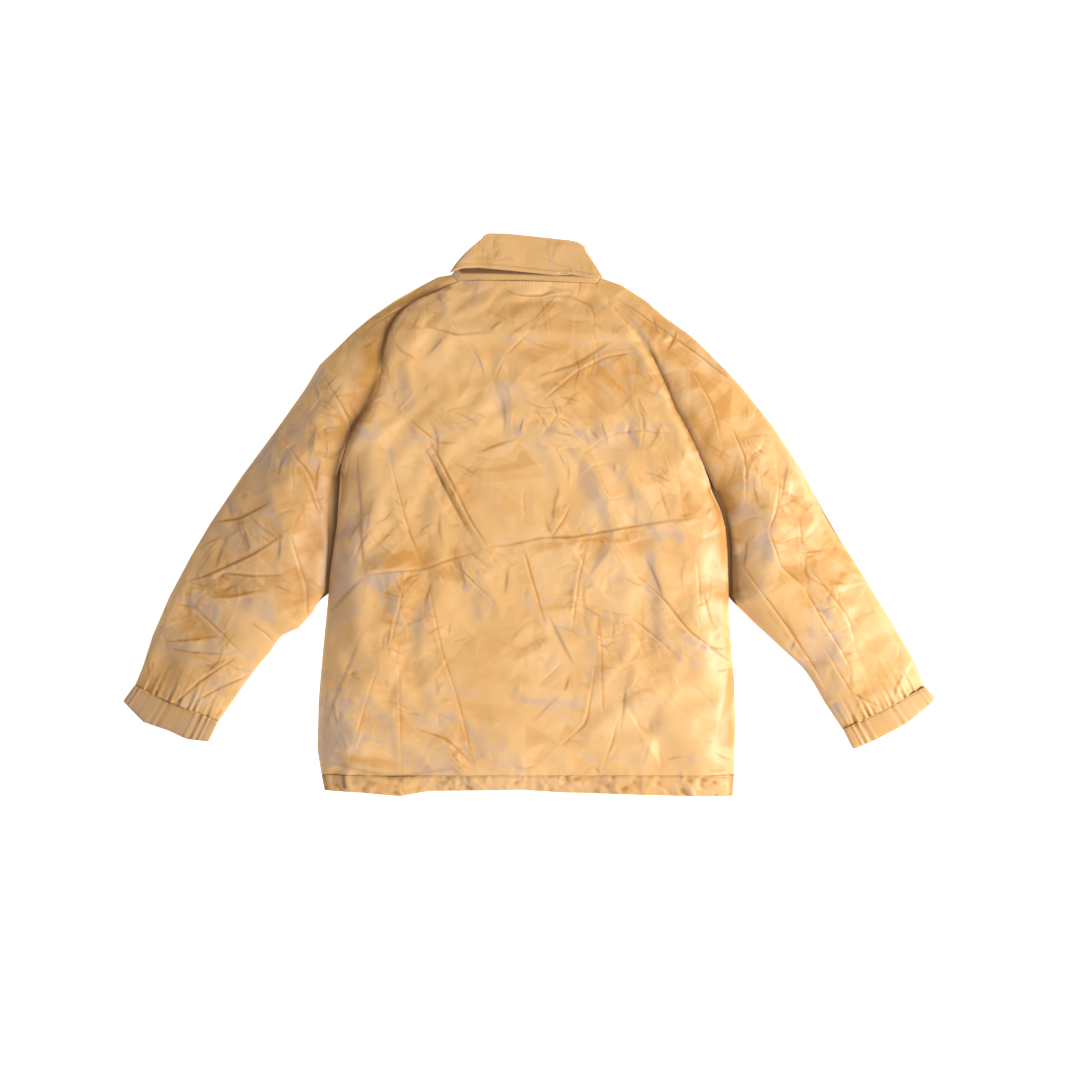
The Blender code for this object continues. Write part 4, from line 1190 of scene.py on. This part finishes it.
def build_front(side):
    sign = SIGN[side]
    outer = [(sign * 0.101, 0.340)] + RAGLAN[side][1:] + BODY_SLIT[side] + SIDE[side]
    edge_x = sign * (FRONT_EDGE_X + 0.0004)
    inner = [(edge_x, 0.262), (edge_x, BAND_TOP_Y)]
    cloth = flat_sheet(f"{side}_front_cloth", inner, outer, uneven(FRONT_HEIGHT, 0.00035, 0.04), NYLON)
    (x0, y0), (x1, y1) = mirrored(POCKET_MOUTH, side)
    half = 0.006
    mouth = [(x0 - half, y0), (x0 + half, y0), (x1 + half, y1), (x1 - half, y1)]
    cut_hole(cloth, block(mouth, *THROUGH))
    blend_front(cloth, side)
    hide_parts(f"{side}_front_panel", f"{side}_front_side")

    inner = [(sign * 0.0525, 0.2395), (sign * 0.0525, -0.3735)]
    outer = [(fold_x(side, y) - sign * 0.0045, y) for y in (0.269, -0.3735)]
    level = uneven(FRONT_LINING_HEIGHT, 0.0003, 0.05)
    lining = flat_sheet(f"{side}_front_lining_cloth", inner, outer, level, LINING,
                        thickness=THIN_CLOTH)
    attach(lining, f"{side}_front")
    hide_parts(f"{side}_front_lining")

    for node_name, quad, height, size, area in (
            ("front_stand", FRONT_STAND, 0.0028, (0.105, 0.064), 0.0047),
            ("collar_point", COLLAR_POINT, 0.0013, (0.100, 0.140), 0.0077)):
        corners = mirrored(quad, side)
        piece = flat_sheet(f"{side}_{node_name}_cloth", corners[:2], corners[2:],
                           uneven(height, 0.0001, 0.03), NYLON, cell=0.003, thickness=0.0008)
        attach(piece, f"{side}_front")
        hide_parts(f"{side}_{node_name}")
    build_pocket(side)
    build_front_hem(side)


def build_pocket(side):
    bag = soften(f"{side}_pocket_bag_cloth", f"{side}_pocket_bag", LINING, f"{side}_front",
                 wobble=0.0001, levels=2)
    (x0, y0), (x1, y1) = mirrored(POCKET_MOUTH, side)
    near, far = (SIGN[side] * -reach for reach in WELT)
    flat = plan([(x0 + near, y0), (x1 + near, y1)], [(x0 + far, y0), (x1 + far, y1)], 0.0015)
    t = np.linspace(-1, 1, flat.shape[1])[None, :]
    z = 0.0004 + 0.0005 * np.sqrt(np.clip(t * t - 0.55, 0, 1)) + 0 * flat[..., 0]
    grid = with_height(flat, z)
    welt = grid_object(f"{side}_pocket_welt_cloth", grid, NYLON, 0.0009)
    welt.modifiers["cloth"].offset = 1.0 if welt.data.polygons[0].normal.z > 0 else -1.0
    shade_cloth(welt, grid)
    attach(welt, f"{side}_front")
    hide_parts(f"{side}_pocket_welt")


STUDS = 5
FIRST_STUD_Y = 0.235
STUD_PITCH = 0.140
STUD_HOLE = 0.0024
PLACKET_ENDS = (0.2612, -0.3955)


def build_plackets():
    spans = {"left": (-0.0445, 0.0155), "right": (-0.0155, 0.0445)}
    for side, (low, high) in spans.items():
        left, right = [(low, y) for y in PLACKET_ENDS], [(high, y) for y in PLACKET_ENDS]

        def height(flat, side=side):
            climb = smooth((0.038 - flat[:, 0]) / 0.014) if side == "right" else 0
            return 0.0042 + 0.0046 * climb + 0.00012 * crumple(flat, 0.02, 41)

        placket = flat_sheet(f"{side}_placket_cloth", left, right, height, NYLON,
                             cell=0.0024, thickness=0.0009)
        for number in range(STUDS):
            cut_round(placket, 0, FIRST_STUD_Y - STUD_PITCH * number, STUD_HOLE, 16, *THROUGH)
        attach(placket, f"{side}_front")
        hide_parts(f"{side}_placket")


# ---------------------------------------------------------------- bands

def folded_strip(name, top_line, edge_line, height, depth, ripple):
    """A strip that folds in two at its edge, from a grid: across it, down the outer face, round
    the edge and back up the inner face. height and ripple are functions of plan points."""
    spacing = 0.0022
    count = int(length_of(edge_line) / spacing)
    top, edge = resample(top_line, count), resample(edge_line, count, 4)
    steps = 12
    profile = [(i / steps, 1.0) for i in range(steps)]
    profile += [(0.96 + 0.04 * math.cos(a), 0.5 + 0.5 * math.sin(a)) for a in np.linspace(1.57, -1.57, 7)]
    profile += [(i / steps, 0.0) for i in range(steps - 1, -1, -1)]
    across = np.array([p[0] for p in profile])
    level = np.array([p[1] for p in profile])
    flat = top[:, None] * (1 - across[None, :, None]) + edge[:, None] * across[None, :, None]
    points = flat.reshape(-1, 2)
    z = height(points).reshape(flat.shape[:2]) - depth * (1 - level)[None, :]
    bulge = np.sin(np.clip(across, 0, 1) * math.pi)[None, :] * (2 * level - 1)[None, :]
    z = z + ripple(points).reshape(flat.shape[:2]) * (0.35 + 0.65 * level)[None, :]
    z = z + 0.0008 * bulge * level
    grid = with_height(flat, z)
    obj = grid_object(name, grid, NYLON, THIN_CLOTH)
    shade_cloth(obj, grid, 0.1, shadow=shadow_lines(points) + 0.05)
    return obj


def build_back_hem():
    seam_y = BAND_TOP_Y - 0.0001

    def height(points):
        return np.maximum(surface(points, reach_of(points, CLOSED), BODY_CREASES)[0], 0.0062)

    def ripple(points):
        return hem_ripple(points) * smooth(reach_of(points, CLOSED) / LOOSE_FROM)

    seam = [(-0.3015, seam_y), (0.2985, seam_y)]
    band = folded_strip("back_hem_cloth", seam, HEM_EDGE, height, 0.0026, ripple)
    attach(band, "back")
    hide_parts("back_hem_casing")


FRONT_HEM_PITCH = 0.011
EYELET_X = 0.062
EYELET_UP = 0.014
EYELET_HOLE = 0.0029


def build_front_hem(side):
    sign = SIGN[side]
    ends = (sign * (FRONT_EDGE_X + 0.0005), sign * 0.2970)
    top = [(ends[0], BAND_TOP_Y - 0.0007), (ends[1], BAND_TOP_Y - 0.0007)]
    behind = np.array(HEM_EDGE)
    edge = [(x, np.interp(x, behind[:, 0], behind[:, 1]) + 0.0006) for x in np.linspace(*ends, 12)]

    def ripple(points):
        turn = 2 * math.pi * points[:, 0] / FRONT_HEM_PITCH
        return 0.00022 * np.sin(turn + np.sin(turn * 0.3))

    def height(points):
        return 0.0025 + 0 * points[:, 0]

    band = folded_strip(f"{side}_front_hem_cloth", top, edge, height, 0.0020, ripple)
    if side == "right":
        band.data.flip_normals()
    cut_round(band, sign * EYELET_X, HEM_Y + EYELET_UP, EYELET_HOLE, 20, 0.0012, 0.006)
    blend_front(band, side)
    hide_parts(f"{side}_front_hem_casing", f"{side}_side_hem_casing")


CUFF_HEIGHT = 0.0138
CUFF_WELD = 0.00005
# Painted light on each cuff: how much lavender painted sheen, and how much painted shadow; the left cuff
# gets more of both, as painted shade.
CUFF_SHADES = {"left": (0.40, 0.30), "right": (0.02, 0.17)}  # lavender cast, shadow


def cuff_ring(side, section):
    """A gathered, flattened band round the wrist, as a closed grid of points. section is (share
    from seam to mouth, depth in from the outside) points."""
    turns = 360
    steps = 40
    half_width = 0.068
    seam = np.array([OVERARM[side][-1], UNDERARM[side][-1]])
    mouth = resample(CUFF_END[side], steps + 1)
    turn = np.arange(turns) / turns
    angle = 2 * math.pi * turn
    across = np.sign(np.cos(angle)) * np.abs(np.cos(angle)) ** 0.6
    rise = 0.5 + 0.5 * np.sign(np.sin(angle)) * np.abs(np.sin(angle)) ** 0.6
    t = (1 - across) / 2
    face = np.where(np.sin(angle) > 0, 0.0, 1.7)
    pleat = np.sin(2 * math.pi * (9 * t + 0.5 * np.sin(2 * math.pi * 2.3 * t + face)) + face)
    pleat += 0.6 * np.sin(2 * math.pi * (21 * t + 0.7 * np.sin(2 * math.pi * 3.1 * t + face)))
    pleat *= (0.6 + 0.5 * np.sin(2 * math.pi * 2.7 * t + 2 * face)) * np.sin(math.pi * t) ** 0.3
    grid = np.zeros((turns, len(section), 3))
    for k, (share, inward) in enumerate(section):
        from_seam = seam[0] + (seam[1] - seam[0]) * t[:, None]
        at_mouth = [np.interp(t * steps, np.arange(steps + 1), mouth[:, i]) for i in (0, 1)]
        at_mouth = np.stack(at_mouth, axis=1)
        middle = (seam[0] + seam[1]) / 2 * (1 - share) + mouth[steps // 2] * share
        plan_point = from_seam * (1 - share) + at_mouth * share
        plan_point += (middle - plan_point) * (inward / half_width)
        swell = 0.0009 * math.sin(math.pi * min(share, 1.0))
        wave = (0.0005 + 0.0007 * abs(2 * share - 1)) * pleat
        z = inward + rise * (CUFF_HEIGHT - 2 * inward)
        grid[:, k, :2] = plan_point
        grid[:, k, 2] = z + (wave + swell) * (2 * rise - 1) * 0.9
    grid[..., 2] = np.maximum(grid[..., 2], 0.0001)
    return np.concatenate([grid, grid[:1]], axis=0)


def build_cuff(side):
    outer = [(-0.04, 0.0007)] + [(i / 8, 0.0) for i in range(8)]
    bend = [(0.985, 0.0002), (1.0, 0.0009), (1.0, 0.0019), (0.985, 0.0028)]
    inner = [(i / 8, 0.0030) for i in range(7, -1, -1)]
    section = outer + bend + inner
    grid = cuff_ring(side, section)
    obj = grid_object(f"{side}_cuff_cloth", grid, NYLON, THIN_CLOTH)
    if side == "right":
        obj.data.flip_normals()
    sheen_cast, shadow = CUFF_SHADES[side]
    shade_cloth(obj, grid, sheen_cast, shadow=shadow)
    weld(obj, CUFF_WELD)
    obj.modifiers.move(1, 0)
    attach(obj, f"{side}_sleeve")
    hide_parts(f"{side}_cuff_casing")

    band = [(0.12, 0.0011), (0.86, 0.0011), (0.86, 0.0022), (0.12, 0.0022)]
    grid = cuff_ring(side, band + band[:1])
    elastic = grid_object(f"{side}_cuff_elastic_band", grid, ELASTIC, 0)
    weld(elastic, CUFF_WELD)
    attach(elastic, f"{side}_sleeve")
    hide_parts(f"{side}_cuff_elastic")


# ---------------------------------------------------------------- collar

NECK_SEAM = mm(-113.5, 349.5, -105, 340.4, -100, 340.2, 99, 336.3, 105.2, 345.2)
ROLL = mm(-67, 408, -30, 407.5, 20, 402, 60, 398, 81, 393)
FREE_EDGE = mm(-115, 352, -97, 358, -74, 359, -29, 355, 10, 351, 37, 348, 61, 349, 89, 344, 107, 345)
STAND_TOP = 0.0138
ROLL_HEIGHT = 0.01555
ROLL_RADIUS = 0.0018
LEAF_HEIGHT = 0.0174
LEAF_EDGE = 0.0164
LEAF_ROWS = 44
COLLAR_COLUMNS = 280


def build_collar():
    """One sheet: from the neck seam up the stand, over the roll, down the leaf, round its free
    edge, and up again under it."""
    count = COLLAR_COLUMNS
    seam, roll, free = (resample(line, count, 3) for line in (NECK_SEAM, ROLL, FREE_EDGE))
    t = np.linspace(0, 1, count)
    ends = smooth(t / 0.03) * smooth((1 - t) / 0.03)
    round_ends = np.clip(1 - t / 0.08, 0, 1) ** 2 + np.clip(1 - (1 - t) / 0.08, 0, 1) ** 2
    roll[:, 1] -= 0.0050 * round_ends
    crown = roll + (0, -0.0016)
    rows, shadows = [], []

    def add_row(place, z, shadow):
        rows.append(np.concatenate([place, (z + 0 * t)[:, None]], axis=1))
        shadows.append(shadow + 0 * t)

    low = puff(seam)
    ribs = np.sin(2 * math.pi * (78 * t + 0.5 * np.sin(23 * t)))
    for share in [*np.linspace(0, 0.28, 20), *np.linspace(0.34, 1, 7)]:
        rise = smooth(share / 0.5)
        z = np.minimum(low * (1 - rise) + STAND_TOP * rise, STAND_TOP) - 0.0004 - 0.0006 * (share < 0.02)
        ribbed = z + 0.00022 * ribs * (1 - smooth((share - 0.1) / 0.3))
        place = seam * (1 - share) + (roll + (0, -0.0015)) * share
        add_row(place, ribbed, 0.08 + 0.85 * smooth((share - 0.13) / 0.07))
    for angle in np.linspace(-80, 80, 9):
        a = math.radians(angle)
        place = crown + (0, ROLL_RADIUS * math.cos(a))
        add_row(place, ROLL_HEIGHT + ROLL_RADIUS * math.sin(a), 0.04)

    shares = np.linspace(0.04, 0.985, LEAF_ROWS)
    leaf = crown + (free - crown) * shares[:, None, None]
    leaf[..., 0] -= 0.0045 * np.sin(math.pi * shares)[:, None] * (1 - t) ** 6
    flat = leaf.reshape(-1, 2)
    relief, tone = facets(flat, cell=0.024, rough=0.0008, seed=53)
    wrinkles, painted_shade, tint = small_creases(flat, count=60, seed=54)
    relief = (relief + 0.5 * wrinkles + 0.0005 * waves(flat, 0.06, 55)).reshape(LEAF_ROWS, count)
    first = len(rows)
    for share, place, bumps in zip(shares, leaf, relief):
        topstitch = math.exp(-(((share - 0.89) / 0.014) ** 2))
        z = LEAF_HEIGHT + 0.0006 * share + smooth(share / 0.2) * bumps - 0.0005 * topstitch
        add_row(place, LEAF_EDGE + (z - LEAF_EDGE) * ends, 0.06 + 0.12 * topstitch)
    edge = crown * 0.015 + free * 0.985
    for angle in np.linspace(60, -60, 5):
        a = math.radians(angle)
        z = LEAF_EDGE + 0.0011 * math.sin(a) * ends
        add_row(edge + (0, -0.0010 * math.cos(a)), z, 0.2 if angle > 0 else 0.9)
    for share in np.linspace(0.97, 0.05, 10):
        add_row((roll + (0, -0.0022)) * (1 - share) + free * share, 0.0160 - 0.0006 * ends, 0.25)

    grid = np.array(rows)
    # The leaf's random facet tone, and the painted shade lines and tints of its wrinkles.
    leaf_tone_and_shade = np.zeros((3, *grid.shape[:2]))
    leaf_tone_and_shade[:, first:first + LEAF_ROWS] = np.array([tone, 0.5 * painted_shade, tint]).reshape(3, LEAF_ROWS, count)
    obj = grid_object("collar_cloth", grid, NYLON, THIN_CLOTH)
    tone, painted_shade, tint = leaf_tone_and_shade.reshape(3, -1)
    shade_cloth(obj, grid, 0.05, tone, np.array(shadows).ravel(), painted_shade, tint)
    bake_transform(obj)
    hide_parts("collar_leaf", "undercollar", "collar_stand")
    build_interlining(roll[:, 1].mean())


def build_interlining(middle):
    """The interlining, drawn in towards its middle so that the cloth covers it."""
    felt = soften("collar_interlining_cloth", "collar_interlining", INTERLINING, "collar",
                  wobble=0.0001, levels=3)
    for vertex in felt.data.vertices:
        vertex.co.y = middle + 0.78 * (vertex.co.y - middle)
        vertex.co.x *= 0.90


# ---------------------------------------------------------------- linings and small trim

def build_inside():
    lining = soften("back_lining_cloth", "back_lining", LINING, "back", wobble=0.0005, levels=2, sag=0.0008)
    facing = soften("neck_facing_cloth", "neck_facing", NYLON_PLAIN, "back", wobble=0.0002, levels=2)
    label = soften("neck_label_cloth", "neck_label", LABEL, "back", wobble=0.0001, levels=3)
    soften("hanger_loop_tape", "hanger_loop", NYLON_PLAIN, "hanger_loop", wobble=0.0001, levels=3)
    for side in SIDES:
        sleeve = soften(f"{side}_sleeve_lining_cloth", f"{side}_sleeve_lining", LINING, f"{side}_sleeve",
                        wobble=0.0004, levels=2, sag=0.0013)


def finish_metal():
    """The snaps and eyelets are the CAD solids themselves, in brass."""
    for name, obj in frame["nodes"].items():
        if name.startswith("snap_") or name.endswith("eyelet"):
            obj.data.materials.clear()
            obj.data.materials.append(BRASS)


# ---------------------------------------------------------------- stitching

def stitches(name, line, body):
    """A row of stitches along a line of points in space: each a short thread that dips at both
    ends."""
    pitch, length, radius = 0.0034, 0.0026, 0.00032
    line = np.array(line, float)
    steps = np.concatenate([[0], np.cumsum(np.linalg.norm(np.diff(line, axis=0), axis=1))])
    starts = np.arange(pitch / 2, steps[-1] - length, pitch)
    sides = 6
    points, faces = [], []
    for start in starts:
        base = len(points)
        ends = [np.array([np.interp(start + length * k, steps, line[:, i]) for i in range(3)])
                for k in (0, 0.25, 0.75, 1)]
        d = ends[-1] - ends[0]
        d /= np.linalg.norm(d)
        right = np.cross(d, (0, 0, 1))
        right /= np.linalg.norm(right)
        up = np.cross(right, d)
        for centre, size, dip in zip(ends, (0.45, 1, 1, 0.45), (-0.0003, 0.0001, 0.0001, -0.0003)):
            for k in range(sides):
                a = 2 * math.pi * k / sides
                out = math.cos(a) * right + math.sin(a) * up
                points.append(centre + radius * size * out + (0, 0, dip))
        for ring in range(3):
            for k in range(sides):
                a, b = base + ring * sides + k, base + ring * sides + (k + 1) % sides
                faces.append([a, b, b + sides, a + sides])
        faces.append([base + k for k in range(sides)][::-1])
        faces.append([base + 3 * sides + k for k in range(sides)])
    obj = new_object(name, points, faces, THREAD)
    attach(obj, body)


def on_surface(obj, line, count=160):
    """The plan line, dropped onto the top of a piece and lifted by the thickness of a thread."""
    lift = 0.0003
    target = evaluated(obj)
    found = []
    for x, y in resample(line, count):
        hit, place, _, _ = target.ray_cast(Vector((x, y, 0.08)), Vector((0, 0, -1)))
        if hit:
            found.append((x, y, place.z + lift))
    return found


def build_stitching():
    shown = bpy.data.objects
    hem_line = [(-0.300, BAND_TOP_Y - 0.0030), (0.297, BAND_TOP_Y - 0.0030)]
    stitches("hem_stitches", on_surface(shown["back_hem_cloth"], hem_line, count=300), "back")
    free = np.array(FREE_EDGE) + np.array([0, 0.0062])
    free[:, 0] *= 0.97
    stitches("collar_stitches", on_surface(shown["collar_cloth"], free), "collar")
    for side in SIDES:
        seam = np.array([OVERARM[side][-1], UNDERARM[side][-1]])
        mouth = np.array([CUFF_END[side][0], CUFF_END[side][-1]])
        line = seam * 0.90 + mouth * 0.10
        middle = line.mean(axis=0)
        line = middle + (line - middle) * 0.94
        stitches(f"{side}_cuff_stitches", on_surface(shown[f"{side}_cuff_cloth"], line), f"{side}_sleeve")


# ---------------------------------------------------------------- light, floor and camera

def build_stage():
    mesh = bpy.data.meshes.new("floor")
    wide = 60
    corners = [(-wide, -wide, 0), (wide, -wide, 0), (wide, wide, 0), (-wide, wide, 0)]
    mesh.from_pydata(corners, [], [(0, 1, 2, 3)])
    floor = linked("floor", mesh)
    floor.location.z = -0.0008
    paper = bpy.data.materials.new("floor_paper")
    paper.use_nodes = True
    shader = paper.node_tree.nodes["Principled BSDF"]
    set_inputs(shader, Base_Color=(0.93, 0.93, 0.93, 1), Roughness=0.9)
    set_inputs(shader, Emission_Color=(1, 1, 1, 1), Emission_Strength=0.75)
    mesh.materials.append(paper)

    bpy.context.scene.view_settings.view_transform = "Standard"
    world = bpy.data.worlds.new("studio")
    bpy.context.scene.world = world
    world.use_nodes = True
    background = world.node_tree.nodes["Background"]
    set_inputs(background, Color=(1.0, 0.99, 0.98, 1), Strength=0.52)
    add_light("key", (2.5, -0.35, 1.6), 120, 0.8)
    add_light("fill", (-0.6, -1.4, 2.2), 15, 1.6)


def add_light(name, place, watts, size):
    """A square area light that points at the jacket."""
    light = bpy.data.lights.new(name, "AREA")
    light.energy = watts
    light.size = size
    obj = linked(name, light)
    obj.location = place
    obj.rotation_euler = (-Vector(place)).to_track_quat("-Z", "Y").to_euler()


def build_camera():
    """Straight above. The view is 1.566 m wide at the jacket, and its middle is a little off the
    jacket's: to the right, and towards the hem."""
    height, view_width = 3.2, 1.566
    data = bpy.data.cameras.new("camera")
    jacket_middle = 0.015
    data.sensor_width = 36.0
    data.lens = data.sensor_width * (height - jacket_middle) / view_width
    camera = linked("camera", data)
    camera.location = (0.016, -0.036, height)
    bpy.context.scene.camera = camera


build_back()
build_back_hem()
build_collar()
build_inside()
build_plackets()
for side_name in SIDES:
    build_sleeve(side_name)
    build_cuff(side_name)
    build_front(side_name)
finish_metal()
build_stitching()
build_stage()
build_camera()
